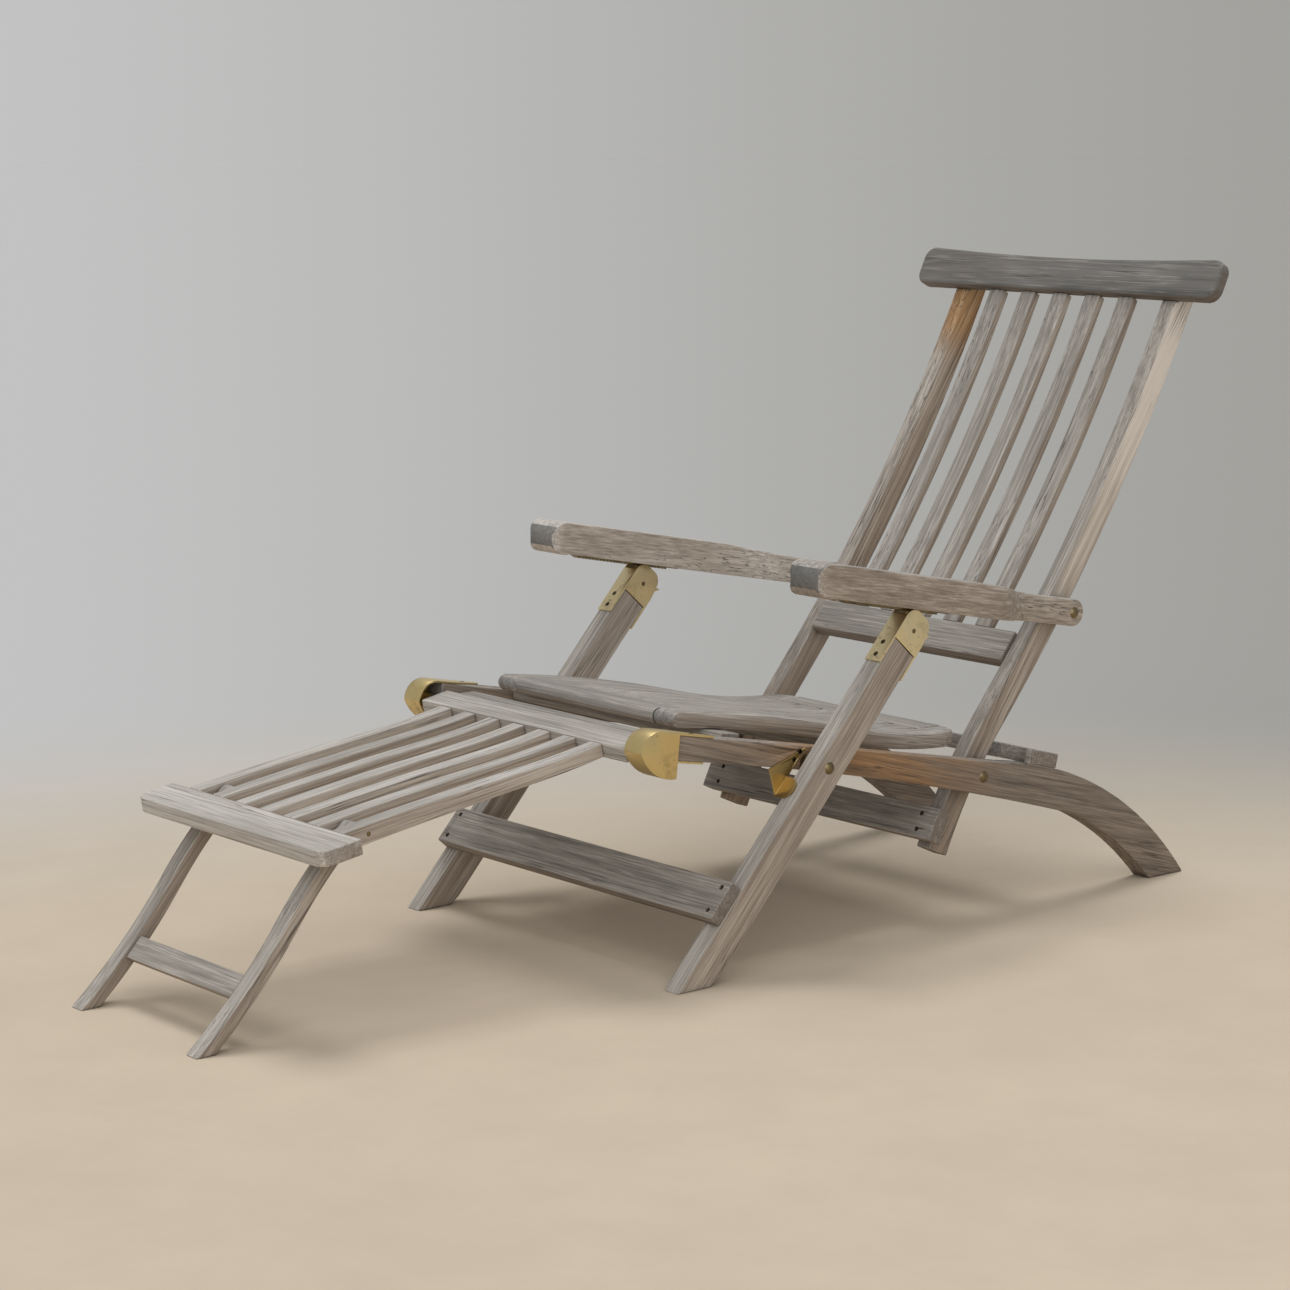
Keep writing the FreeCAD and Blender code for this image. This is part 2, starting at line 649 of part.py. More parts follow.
def cup_face(inset):
    """Side view of the hinge cup, or of the hollow a wall inside it that runs out at the rear."""
    top = BRASS_THICK - inset
    rear = CUP_REAR_Y + inset
    brow, nose, chin = [inward_of(place, REST_PIVOT, inset) for place in (CUP_BROW, CUP_NOSE, CUP_CHIN)]
    low_rear = (CUP_BOTTOM_REAR[0] + inset, CUP_BOTTOM_REAR[1] + inset / 2)
    tops = [(y, rail_top(y) + top) for y in (rear, CUP_BROW_Y)]
    return outline(*tops, (brow, nose), (chin, low_rear))


def hinge_cup(rail):
    """Brass cup: outer cheek, strap round the nose, two flanges on the rail and a bored boss."""
    hollow = across(cup_face(BRASS_THICK), RAIL_INNER, RAIL_OUTER)
    cup = across(cup_face(0), RAIL_INNER, CUP_OUTER).cut(hollow)
    boss = rod(REST_PIVOT, CUP_OUTER - CUP_BOSS_LONG, CUP_OUTER, CUP_BOSS_R)
    bore = rod(REST_PIVOT, 0, CUP_OUTER - CUP_BOSS_LONG + CUP_BORE_DEEP, REST_PIN_R + BOLT_RUNNING)
    return cup.fuse([cup_top_flange(), cup_low_flange(rail), boss]).cut(bore).removeSplitter()


def cup_top_flange():
    """Flange on the rail's top, tapered in plan to its outer edge."""
    tops = [(y, rail_top(y)) for y in (CUP_BROW_Y, CUP_TOP_FLANGE_END)]
    strip = across(outline(*tops, *[(y, z + BRASS_THICK) for y, z in reversed(tops)]), RAIL_INNER, CUP_OUTER)
    taper = plan_block(
        0, 2 * RAIL_FRONT_TOP[1],
        (RAIL_INNER, CUP_BROW_Y), (CUP_OUTER, CUP_BROW_Y), (CUP_OUTER, CUP_TOP_FLANGE_END),
        (CUP_OUTER - CUP_FLANGE_TIP_WIDE, CUP_TOP_FLANGE_END), (RAIL_INNER, CUP_REAR_Y))
    return strip.common(taper)


def cup_low_flange(rail):
    """Flange that follows the underside of the rail."""
    lowered = rail.copy()
    lowered.translate(FreeCAD.Vector(0, 0, -BRASS_THICK))
    long = CUP_BOTTOM_FLANGE_END - RAIL_FRONT_BOTTOM[0]
    corner = FreeCAD.Vector(RAIL_INNER, RAIL_FRONT_BOTTOM[0], 0)
    reach = Part.makeBox(RAIL_THICK, long, RAIL_FRONT_BOTTOM[1], corner)
    return lowered.common(reach).cut(rail)


def cup_screws(cup):
    """One screw down through the top flange and one up through the bottom flange."""
    top_x, top_y = CUP_SCREW_TOP
    low_x, low_y = CUP_SCREW_LOW
    ends = [FreeCAD.Vector(low_x, low_y, z) for z in (0, FRONT_CROSS_TOP - FRONT_CROSS_DEEP)]
    probe = Part.makeLine(*ends)
    low_z = cup.common(probe).BoundBox.ZMin
    down = FreeCAD.Vector(0, 0, -1)
    top_head = FreeCAD.Vector(top_x, top_y, rail_top(top_y) + BRASS_THICK)
    return [(top_head, down), (FreeCAD.Vector(low_x, low_y, low_z), -down)]


def rest_hinge_rail():
    """Rail of the leg rest that turns on the two pins."""
    start, _ = step_along(REST_PIVOT, REST_HEADING, -REST_RAIL_WIDE / 2, 0)
    half = REST_RAIL_DEEP / 2
    face = bar_face(start, REST_HEADING, ((REST_RAIL_WIDE, 0),), (half, half), (-half, -half))
    return bored(across(face, -REST_RAIL_HALF, REST_RAIL_HALF), REST_PIVOT, REST_PIN_R + BOLT_RUNNING)


def rest_line():
    """Start and heading of the leg-rest slats, at the front of the hinge rail."""
    return step_along(REST_PIVOT, REST_HEADING, REST_RAIL_WIDE / 2, 0)


def rest_slat(number):
    """Bent slat that thickens towards the foot board; the outer two carry the rest legs."""
    top = -REST_RAIL_DEEP / 2 + REST_SLAT_DROP
    under = (top + REST_SLAT_REAR_THICK, top + REST_SLAT_FRONT_THICK)
    face = bar_face(*rest_line(), REST_BENDS, under, (top, top))
    centre = (number - (REST_SLAT_COUNT - 1) / 2) * REST_SLAT_PITCH
    slat = across(face, centre - REST_SLAT_WIDE / 2, centre + REST_SLAT_WIDE / 2)
    if number in (0, REST_SLAT_COUNT - 1):
        slat = bored(slat, REST_LEG_PIVOT, REST_BOLT_R + BOLT_RUNNING)
    return slat


def foot_board():
    """Board across the front ends of the slats, with round front corners."""
    place, heading = walk(*rest_line(), REST_BENDS)
    top = -REST_RAIL_DEEP / 2 + REST_SLAT_DROP
    sides = (top + FOOT_BOARD_THICK, top)
    face = bar_face(place, heading, ((FOOT_BOARD_WIDE, 0),), (sides[0],) * 2, (sides[1],) * 2)
    board = across(face, -FOOT_BOARD_HALF, FOOT_BOARD_HALF)
    front, _ = step_along(place, heading, FOOT_BOARD_WIDE, 0)
    edges = []
    for x in (-FOOT_BOARD_HALF, FOOT_BOARD_HALF):
        corners = [vector(x, beside(front, heading, side)) for side in sides]
        edges.append(edge_between(board, *corners))
    return board.makeFillet(FOOT_BOARD_CORNER_R, edges)


def rest_leg():
    """Bent leg of the leg rest, round at its pivot and cut level at the floor."""
    half = REST_LEG_DEPTH / 2
    low = (REST_LEG_SPREAD - REST_LEG_WIDE) / 2
    high = low + REST_LEG_WIDE
    face = bar_face(REST_LEG_PIVOT, REST_LEG_HEADING, REST_LEG_BENDS, (half, half), (-half, -half))
    leg = across(face, low, high).fuse(rod(REST_LEG_PIVOT, low, high, half)).removeSplitter()
    box = leg.BoundBox
    floor = Part.makeBox(box.XLength, box.YLength, -box.ZMin, FreeCAD.Vector(box.XMin, box.YMin, box.ZMin))
    return bored(leg.cut(floor), REST_LEG_PIVOT, REST_BOLT_R + BOLT_RUNNING)


def rest_stretcher():
    """Rail between the legs of the leg rest."""
    last = REST_LEG_STRETCHER_ALONG + REST_LEG_STRETCHER_WIDE
    lead, kept = trimmed(REST_LEG_BENDS, REST_LEG_STRETCHER_ALONG, last)
    place, heading = walk(REST_LEG_PIVOT, REST_LEG_HEADING, lead)
    half = REST_LEG_STRETCHER_THICK / 2
    reach = (REST_LEG_SPREAD - REST_LEG_WIDE) / 2
    return across(bar_face(place, heading, kept, (half, half), (-half, -half)), -reach, reach)


def rest_bolt():
    """Plain bolt through an outer slat into the rest leg beside it."""
    outer = ((REST_SLAT_COUNT - 1) * REST_SLAT_PITCH + REST_SLAT_WIDE) / 2
    return rod(REST_LEG_PIVOT, (REST_LEG_SPREAD - REST_LEG_WIDE) / 2, outer, REST_BOLT_R)


def back_bar(first, last, left, right, low, high):
    """A bar along the line of the back, between two distances along it."""
    lead, kept = trimmed(BACK_BENDS, first, last)
    place, heading = walk(BACK_START, BACK_HEADING, lead)
    return across(bar_face(place, heading, kept, (left, left), (right, right)), low, high)


def back_post():
    """Bent post with a thinner lap at its top, bored close for its pivot and wide for the arm bolt."""
    half = POST_DEPTH / 2
    end, heading = walk(BACK_START, BACK_HEADING, BACK_BENDS)
    lap_front = half + HEAD_PROUD - HEAD_THICK
    lap_face = bar_face(end, heading, ((HEAD_LAP, 0),), (lap_front,) * 2, (-half,) * 2)
    lap = across(lap_face, POST_INNER, POST_OUTER)
    post = back_bar(0, BACK_LONG, half, -half, POST_INNER, POST_OUTER).fuse(lap)
    post = bored(post, BACK_PIVOT, BOLT_R + BOLT_RUNNING)
    return bored(post, ARM_PIVOT, BOLT_R + ARM_BOLT_PLAY)


def back_stretcher():
    """Board across the front faces of the posts, low down."""
    face = POST_DEPTH / 2
    last = BACK_STRETCHER_ALONG + BACK_STRETCHER_WIDE
    return back_bar(BACK_STRETCHER_ALONG, last, face + BACK_STRETCHER_THICK, face,
                    -BACK_STRETCHER_HALF, BACK_STRETCHER_HALF)


def back_screws():
    """Two screws through each end of the back stretcher."""
    screws = []
    for inset in (STRETCHER_SCREW_INSET, BACK_STRETCHER_WIDE - STRETCHER_SCREW_INSET):
        lead, kept = trimmed(BACK_BENDS, BACK_STRETCHER_ALONG + inset, BACK_LONG)
        place, heading = walk(BACK_START, BACK_HEADING, lead)
        head = beside(place, heading, POST_DEPTH / 2 + BACK_STRETCHER_THICK - SCREW_SUNK)
        screws.append((vector(POST_CENTRE, head), vector(0, beside((0, 0), heading, -1))))
    return screws


def low_back_rail():
    """Rail between the posts that the back slats stand on."""
    front = POST_DEPTH / 2 + BACK_SLAT_PROUD
    last = LOW_RAIL_ALONG + LOW_RAIL_WIDE
    return back_bar(LOW_RAIL_ALONG, last, front, front - LOW_RAIL_THICK, -POST_INNER, POST_INNER)


def back_slat(number):
    """Slat from the low rail up to the headboard."""
    front = POST_DEPTH / 2 + BACK_SLAT_PROUD
    centre = (number - (BACK_SLAT_COUNT - 1) / 2) * BACK_SLAT_PITCH
    low, high = centre - BACK_SLAT_WIDE / 2, centre + BACK_SLAT_WIDE / 2
    return back_bar(LOW_RAIL_ALONG + LOW_RAIL_WIDE, BACK_LONG, front, front - BACK_SLAT_THICK, low, high)


def headboard():
    """Top board with round corners, a hollow top edge and eased arrises."""
    flat, side = HEAD_HALF - HEAD_CORNER_R, HEAD_HIGH - HEAD_CORNER_R
    face = outline(
        (-flat, 0.0), (flat, 0.0),
        (around((flat, HEAD_CORNER_R), HEAD_CORNER_R, -45), (HEAD_HALF, HEAD_CORNER_R)), (HEAD_HALF, side),
        (around((flat, side), HEAD_CORNER_R, 45), (flat, HEAD_HIGH)),
        ((0.0, HEAD_HIGH - HEAD_DIP), (-flat, HEAD_HIGH)),
        (around((-flat, side), HEAD_CORNER_R, 135), (-HEAD_HALF, side)), (-HEAD_HALF, HEAD_CORNER_R),
        (around((-flat, HEAD_CORNER_R), HEAD_CORNER_R, 225), (-flat, 0.0)))
    front = POST_DEPTH / 2 + HEAD_PROUD
    block = across(face, front - HEAD_THICK, front)
    arrises = [edge for side in block.Faces if abs(side.normalAt(0, 0).x) > 0.9 for edge in side.Edges]
    board = block.makeFillet(HEAD_EDGE_R, arrises)
    end, heading = walk(BACK_START, BACK_HEADING, BACK_BENDS)
    forward, upward = vector(0, beside((0, 0), heading, 1)), vector(0, beside((0, 0), heading - 90, 1))
    return turned(board, forward, FreeCAD.Vector(1, 0, 0), upward, vector(0, end))


def s_bend(start, end):
    """Moves for two equal arcs that leave and arrive along the chair, in plan."""
    across_by, along_by = end[0] - start[0], end[1] - start[1]
    radius = (across_by ** 2 + along_by ** 2) / (4 * across_by)
    angle = math.atan2(abs(across_by), abs(along_by))
    rise = math.copysign(abs(radius) * math.sin(angle), along_by)
    first = (start[0] + radius * (1 - math.cos(angle)), start[1] + rise)
    middle = ((start[0] + end[0]) / 2, (start[1] + end[1]) / 2)
    second = (start[0] + end[0] - first[0], start[1] + end[1] - first[1])
    return (first, middle), (second, end)


def arm_plan():
    """Plan of the arm: wide with round front corners, drawn in by S-bends to the tail."""
    inner, nose, r = ARM_OUTER - ARM_WIDE, ARM_NOSE[0], ARM_NOSE_CORNER_R
    tail = ARM_PIVOT[0] + ARM_TAIL_R
    return plan_block(
        0, 2 * ARM_TOP_FRONT[1], (inner + r, nose), (ARM_OUTER - r, nose),
        (around((ARM_OUTER - r, nose + r), r, -45), (ARM_OUTER, nose + r)), (ARM_OUTER, ARM_BEND_START),
        *s_bend((ARM_OUTER, ARM_BEND_START), (ARM_TAIL_OUTER, ARM_BEND_END)),
        (ARM_TAIL_OUTER, tail), (ARM_TAIL_INNER, tail), (ARM_TAIL_INNER, ARM_BEND_END),
        *s_bend((ARM_TAIL_INNER, ARM_BEND_END), (inner, ARM_BEND_START)),
        (inner, nose + r), (around((inner + r, nose + r), r, 225), (inner + r, nose)))


def rack_span():
    """Distances along the arm's underside where the rack starts and ends."""
    slope = under_place(1, 0)[0] - under_place(0, 0)[0]
    return [(y - ARM_UNDER_FRONT[0]) / slope for y in (RACK_START, RACK_END)]


def arm():
    """Arm: its side profile kept where the plan allows, bored at the tail and grooved for the rack."""
    tail_top, tail_under = [beside(ARM_PIVOT, ARM_TAIL_HEADING, side * ARM_TAIL_R) for side in (1, -1)]
    face = outline(
        ARM_TOP_FRONT, ARM_TOP_REAR, (ARM_TOP_NECK, tail_top),
        (around(ARM_PIVOT, ARM_TAIL_R, ARM_TAIL_HEADING), tail_under),
        ARM_UNDER_REAR, ARM_UNDER_FRONT, (ARM_NOSE, ARM_TOP_FRONT))
    shape = across(face, ARM_TAIL_INNER, ARM_OUTER).common(arm_plan())
    first, last = rack_span()
    corners = [under_place(along, out) for along, out in (
        (first, -RACK_LET_IN), (last, -RACK_LET_IN), (last, RACK_BODY), (first, RACK_BODY))]
    groove = across(outline(*corners), LEG_CENTRE - RACK_WIDE / 2, LEG_CENTRE + RACK_WIDE / 2)
    return bored(shape.cut(groove), ARM_PIVOT, BOLT_R + BOLT_RUNNING)


def rack():
    """Brass strip let into the arm, with saw teeth whose steep sides face the rear."""
    first, last = rack_span()
    count = int((last - first - RACK_PLAIN_END) / RACK_TOOTH_PITCH)
    corners = [(last, RACK_BODY), (last, -RACK_LET_IN), (first, -RACK_LET_IN), (first, RACK_BODY)]
    for number in range(count):
        tip = first + (number + 1) * RACK_TOOTH_PITCH
        corners += [(tip, RACK_BODY + RACK_TOOTH_DEEP), (tip, RACK_BODY)]
    face = outline(*[under_place(*corner) for corner in corners])
    return across(face, LEG_CENTRE - RACK_WIDE / 2, LEG_CENTRE + RACK_WIDE / 2)


def frame_nodes():
    """Rails, cross members, seat and the brass fittings screwed to the rails."""
    plain_rail = side_rail()
    cup = hinge_cup(plain_rail)
    fitting_screws = stop_screws() + cup_screws(cup)
    board_screws = rear_board_screws()
    rail = drilled(plain_rail, fitting_screws + board_screws)
    board = rear_cross_board([plain_rail, mirrored(plain_rail)])
    rear_rail = seat_board(SEAT_LONG - SEAT_REAR_RAIL_LONG, SEAT_LONG, -SEAT_OPENING, SEAT_OPENING)
    nodes = pair("side_rail", rail)
    nodes.update(pair("seat_side", seat_side()))
    nodes.update(pair("hinge_cup", drilled(cup, fitting_screws)))
    nodes.update(pair("leg_stop", drilled(leg_stop(), fitting_screws)))
    nodes["front_cross_rail"] = front_cross_rail()
    nodes["rear_cross_board"] = drilled_both(board, board_screws)
    nodes["seat_front_rail"] = seat_board(0, SEAT_FRONT_RAIL_LONG, -SEAT_OPENING, SEAT_OPENING)
    nodes["seat_rear_rail"] = rear_rail
    nodes["seat_slats"] = seat_slats()
    nodes["seat_bearers"] = Part.makeCompound([seat_bearer(along) for along in BEARER_ALONG])
    nodes["frame_screws"] = both([screw(*place) for place in fitting_screws + board_screws])
    nodes["leg_bolts"] = both([bolt(LEG_PIVOT, LEG_OUTER, RAIL_INNER, False)])
    nodes["leg_spacers"] = both([tube(LEG_PIVOT, RAIL_OUTER, LEG_INNER - SPACER_FREE)])
    nodes["back_washers"] = both([tube(BACK_PIVOT, POST_OUTER + SPACER_FREE, RAIL_INNER)])
    return nodes


def leg_nodes():
    """Front legs with their stretcher, catches and triggers."""
    screws = leg_screws()
    pin = rod(leg_place(*TRIGGER_PIVOT), LEG_INNER, LEG_OUTER, TRIGGER_PIN_R)
    nodes = pair("front_leg", drilled(front_leg(), screws))
    nodes.update(pair("leg_catch", drilled(leg_catch(), screws)))
    nodes.update(pair("catch_trigger", catch_trigger()))
    nodes["front_stretcher"] = drilled_both(front_stretcher(), screws)
    nodes["leg_screws"] = both([screw(*place) for place in screws])
    nodes["trigger_pins"] = both([pin])
    return nodes


def rest_nodes():
    """Leg rest and its own legs."""
    pin_end = CUP_OUTER - CUP_BOSS_LONG + CUP_BORE_DEEP - SPACER_FREE
    nodes = pair("rest_leg", rest_leg())
    for number in range(REST_SLAT_COUNT):
        nodes["rest_slat_%d" % (number + 1)] = rest_slat(number)
    nodes["rest_hinge_rail"] = rest_hinge_rail()
    nodes["foot_board"] = foot_board()
    nodes["rest_stretcher"] = rest_stretcher()
    nodes["rest_bolts"] = both([rest_bolt()])
    nodes["rest_pins"] = both([rod(REST_PIVOT, REST_RAIL_HALF - REST_PIN_SET, pin_end, REST_PIN_R)])
    return nodes


def back_nodes():
    """Back, headboard and the bolts that it turns on."""
    screws = back_screws()
    nodes = pair("back_post", drilled(back_post(), screws))
    for number in range(BACK_SLAT_COUNT):
        nodes["back_slat_%d" % (number + 1)] = back_slat(number)
    nodes["low_back_rail"] = low_back_rail()
    nodes["headboard"] = headboard()
    nodes["back_stretcher"] = drilled_both(back_stretcher(), screws)
    nodes["back_screws"] = both([screw(*place) for place in screws])
    nodes["back_bolts"] = both([bolt(BACK_PIVOT, RAIL_OUTER, POST_INNER, True)])
    return nodes


def arm_nodes():
    """Arms with their racks, bolts and washers."""
    nut_face = POST_INNER - ARM_WASHER_THICK
    gap_washer = tube(ARM_PIVOT, POST_OUTER + SPACER_FREE, ARM_TAIL_INNER - SPACER_FREE)
    nut_washer = tube(ARM_PIVOT, nut_face, POST_INNER - SPACER_FREE)
    arm_bolt = bolt(ARM_PIVOT, ARM_TAIL_OUTER, nut_face, True)
    nodes = pair("arm", arm())
    nodes.update(pair("rack", rack()))
    nodes.update(pair("arm_bolt", Part.makeCompound([arm_bolt, gap_washer, nut_washer])))
    return nodes


NODES = {**frame_nodes(), **leg_nodes(), **rest_nodes(), **back_nodes(), **arm_nodes()}
for name, shape in NODES.items():
    shape.translate(FreeCAD.Vector(0, -ORIGIN_Y, 0))
    shape.exportStep("parts/%s.step" % name)
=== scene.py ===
# %% [markdown]
# # A weathered teak deck chair
# The solids of the chair already exist as a packed frame, one object for each piece, and they are
# right to the millimetre. What they lack is age: eased edges, silvered grain, dull brass. This lesson
# keeps every piece where the frame puts it and adds only that.

import json
import math

import bmesh
import bpy
import numpy as np
from mathutils import Matrix, Vector


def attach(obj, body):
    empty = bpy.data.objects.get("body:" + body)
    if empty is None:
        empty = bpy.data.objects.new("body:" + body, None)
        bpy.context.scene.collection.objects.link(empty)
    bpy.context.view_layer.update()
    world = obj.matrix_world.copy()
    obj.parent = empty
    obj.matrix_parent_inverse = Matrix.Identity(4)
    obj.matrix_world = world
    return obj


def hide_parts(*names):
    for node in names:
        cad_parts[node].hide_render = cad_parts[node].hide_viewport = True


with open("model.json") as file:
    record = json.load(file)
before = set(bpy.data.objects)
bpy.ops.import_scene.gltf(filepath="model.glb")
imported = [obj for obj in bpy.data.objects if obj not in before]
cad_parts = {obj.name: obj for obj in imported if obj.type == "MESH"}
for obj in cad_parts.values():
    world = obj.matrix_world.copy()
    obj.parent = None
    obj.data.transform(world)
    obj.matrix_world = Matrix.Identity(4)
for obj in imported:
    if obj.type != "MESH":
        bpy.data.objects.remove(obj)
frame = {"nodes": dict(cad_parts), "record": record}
scene = bpy.context.scene
scene.view_settings.view_transform = "Standard"
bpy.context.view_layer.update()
RECORD = frame["record"]
BODY_OF = {node: body for body, nodes in RECORD["behaviour"]["bodies"].items() for node in nodes}
SLOT_OF = {part["node"]: part["material_slot"] for part in RECORD["subparts"]}

# %% [markdown]
# ## The camera
# A long lens stands well back, a little above the arms, and looks at the chair over the corner of the
# leg rest. Azimuth, elevation and roll describe how a photographer would aim it, and the three axes of
# the camera follow from them, so no tracking constraint is needed.

# %% Camera
CAMERA_PLACE = Vector((3.0778, -2.5425, 1.0212))
CAMERA_AZIMUTH = math.radians(50.673)
CAMERA_ELEVATION = math.radians(9.440)
CAMERA_ROLL = math.radians(-0.1585)
LENS_MM = 90.42

right = Vector((math.cos(CAMERA_AZIMUTH), math.sin(CAMERA_AZIMUTH), 0))
level_back = Vector((math.sin(CAMERA_AZIMUTH), -math.cos(CAMERA_AZIMUTH), 0))
back = level_back * math.cos(CAMERA_ELEVATION) + Vector((0, 0, math.sin(CAMERA_ELEVATION)))
aim = Matrix((right, back.cross(right), back)).transposed() @ Matrix.Rotation(CAMERA_ROLL, 3, "Z")

camera = bpy.data.objects.new("camera", bpy.data.cameras.new("camera"))
camera.data.lens = LENS_MM
camera.matrix_world = Matrix.Translation(CAMERA_PLACE) @ aim.to_4x4()
scene.collection.objects.link(camera)
scene.camera = camera
print("camera stands", round(CAMERA_PLACE.length, 2), "m from the origin")

# %% [markdown]
# ## Writing shaders as sums
# A finish is mostly arithmetic: a streak plus a stain, less a crack. Node trees hide that, so one small
# class wraps a socket and turns Python's operators into Math nodes. Every other node comes from its one
# method `node`, which sets the node's own settings first and then its sockets, by value or by link.


# %% Socket class
class Paint:
    """A socket in a shader tree. Sums with it add Math nodes, and node() adds any other node."""

    def __init__(self, tree, socket=None):
        self.tree, self.socket = tree, socket

    def node(self, kind, settings=None, sockets=None, output=0):
        made = self.tree.nodes.new(kind)
        for name, setting in (settings or {}).items():
            if name == "stops":
                self.set_stops(made.color_ramp, setting)
            else:
                setattr(made, name, setting)
        for name, value in (sockets or {}).items():
            if isinstance(value, Paint):
                self.tree.links.new(value.socket, made.inputs[name])
            else:
                made.inputs[name].default_value = value
        return Paint(self.tree, made.outputs[output])

    @staticmethod
    def set_stops(ramp, stops):
        while len(ramp.elements) < len(stops):
            ramp.elements.new(1.0)
        for element, (place, colour) in zip(ramp.elements, stops):
            element.position, element.color = place, (*colour, 1.0)

    def maths(self, operation, first, second):
        return self.node("ShaderNodeMath", {"operation": operation}, {0: first, 1: second})

    def __add__(self, other):
        return self.maths("ADD", self, other)

    def __sub__(self, other):
        return self.maths("SUBTRACT", self, other)

    def __rsub__(self, other):
        return self.maths("SUBTRACT", other, self)

    def __mul__(self, other):
        return self.maths("MULTIPLY", self, other)

    __radd__, __rmul__ = __add__, __mul__

    def __abs__(self):
        return self.maths("ABSOLUTE", self, 0.0)

    def between(self, low, high):
        """0 below the low value, 1 above the high one, and a smooth step from one to the other."""
        return self.node("ShaderNodeMapRange", {"interpolation_type": "SMOOTHSTEP"},
                         {"Value": self, "From Min": low, "From Max": high})

    def ramp(self, stops):
        """A colour for each value."""
        return self.node("ShaderNodeValToRGB", {"stops": stops}, {"Fac": self})

    def blend(self, first, second):
        """The first colour where this value is 0, the second where it is 1."""
        settings = {"data_type": "RGBA", "clamp_factor": True}
        return self.node("ShaderNodeMix", settings, {0: self, 6: (*first, 1.0), 7: (*second, 1.0)}, 2)

    def mixed(self, other, share, blend="MIX"):
        """This colour with a share of another one."""
        other = other if isinstance(other, Paint) else (*other, 1.0)
        settings = {"data_type": "RGBA", "blend_type": blend, "clamp_factor": True}
        return self.node("ShaderNodeMix", settings, {0: share, 6: self, 7: other}, 2)

    def stretched(self, *scales):
        """This vector with each of its parts scaled."""
        return self.node("ShaderNodeVectorMath", {"operation": "MULTIPLY"}, {0: self, 1: scales})

    def along(self, way):
        """How far this vector reaches along a direction."""
        return self.node("ShaderNodeVectorMath", {"operation": "DOT_PRODUCT"}, {0: self, 1: way}, "Value")

    def unit(self):
        """This vector with its length made 1."""
        return self.node("ShaderNodeVectorMath", {"operation": "NORMALIZE"}, {0: self})

    def apart(self, place):
        """The distance from this vector to a fixed place."""
        return self.node("ShaderNodeVectorMath", {"operation": "DISTANCE"}, {0: self, 1: place}, "Value")

    def noise(self, detail=2.0, roughness=0.5):
        """Cloudy values around a half, one cloud to each unit of this vector."""
        return self.node("ShaderNodeTexNoise", None, {
            "Vector": self, "Scale": 1.0, "Detail": detail, "Roughness": roughness})

    def attribute(self, name, output="Fac"):
        """A value that the mesh carries."""
        return self.node("ShaderNodeAttribute", {"attribute_name": name}, None, output)


print("operators ready:", [name for name in vars(Paint) if name.startswith("__r")])

# %% [markdown]
# ## Starting a finish
# A new material in Blender already holds one Principled shader, which suits paint, wood and metal alike.
# So every finish starts from it, and two helpers are enough: one makes the empty material, the other
# feeds sums and plain numbers to the shader's sockets by name.


# %% Finish helpers
def new_finish(name):
    """An empty material, the start of its sums, and the shader that they feed."""
    material = bpy.data.materials.new(name)
    material.use_nodes = True
    tree = material.node_tree
    return material, Paint(tree), tree.nodes["Principled BSDF"]


def feed(shader, **values):
    """Links sums to the shader's sockets, and sets plain numbers on them."""
    for name, value in values.items():
        socket = shader.inputs[name.replace("_", " ")]
        if isinstance(value, Paint):
            value.tree.links.new(value.socket, socket)
        else:
            socket.default_value = value


print("materials before the first finish:", len(bpy.data.materials))

# %% [markdown]
# ## Lamps
# One wide lamp overhead puts the shadow right below the chair, and a softer one in front lifts the
# upright faces, as a studio's second lamp does. Area lamps could do this too, but the light of a sun
# lamp is the same everywhere, so the light on the floor can be added up here and used further on. Each
# row gives a lamp's strength, its spread and its turns, in degrees.

# %% Lamps
LAMPS = {"overhead_lamp": (1.30, 24, (-12, -14, 0)), "front_lamp": (1.20, 70, (60, 0, 44))}
SKY_STRENGTH = 0.46

level = SKY_STRENGTH
for name, (strength, spread, turn) in LAMPS.items():
    lamp = bpy.data.objects.new(name, bpy.data.lights.new(name, "SUN"))
    lamp.data.energy = strength
    lamp.data.angle = math.radians(spread)
    lamp.rotation_euler = [math.radians(angle) for angle in turn]
    scene.collection.objects.link(lamp)
    level += strength * math.cos(lamp.rotation_euler.x) * math.cos(lamp.rotation_euler.y) / math.pi
print("a white floor would show as", round(level, 3))

# %% [markdown]
# ## Sky
# The chair is lit by a plain white sky, which tints no colour. The camera sees another one: pale grey,
# with painted shade that darkens it to the right, where the studio ends. That side is measured from the
# camera's own place, so it would turn over behind the camera. There the sky goes over to one even grey.

# %% Sky
# The sky for the camera: the second colour is a painted shade on the right.
SKY_SIDES = (0.545, 0.545, 0.545), (0.36, 0.355, 0.335)
SKY_REACH = (-0.24, 0.24)
BEHIND_REACH = (-0.7, 0.3)
EVEN_SHARE = 0.3


def side_share(gaze, way):
    """Share of the darker, painted-shade colour: 0 at the picture's left edge and 1 at its right, from
    the camera's gaze; even behind the camera.
    """
    side = gaze.along(right).between(*SKY_REACH)
    behind = way.along(level_back).between(*BEHIND_REACH)
    return side * (1 - behind) + EVEN_SHARE * behind


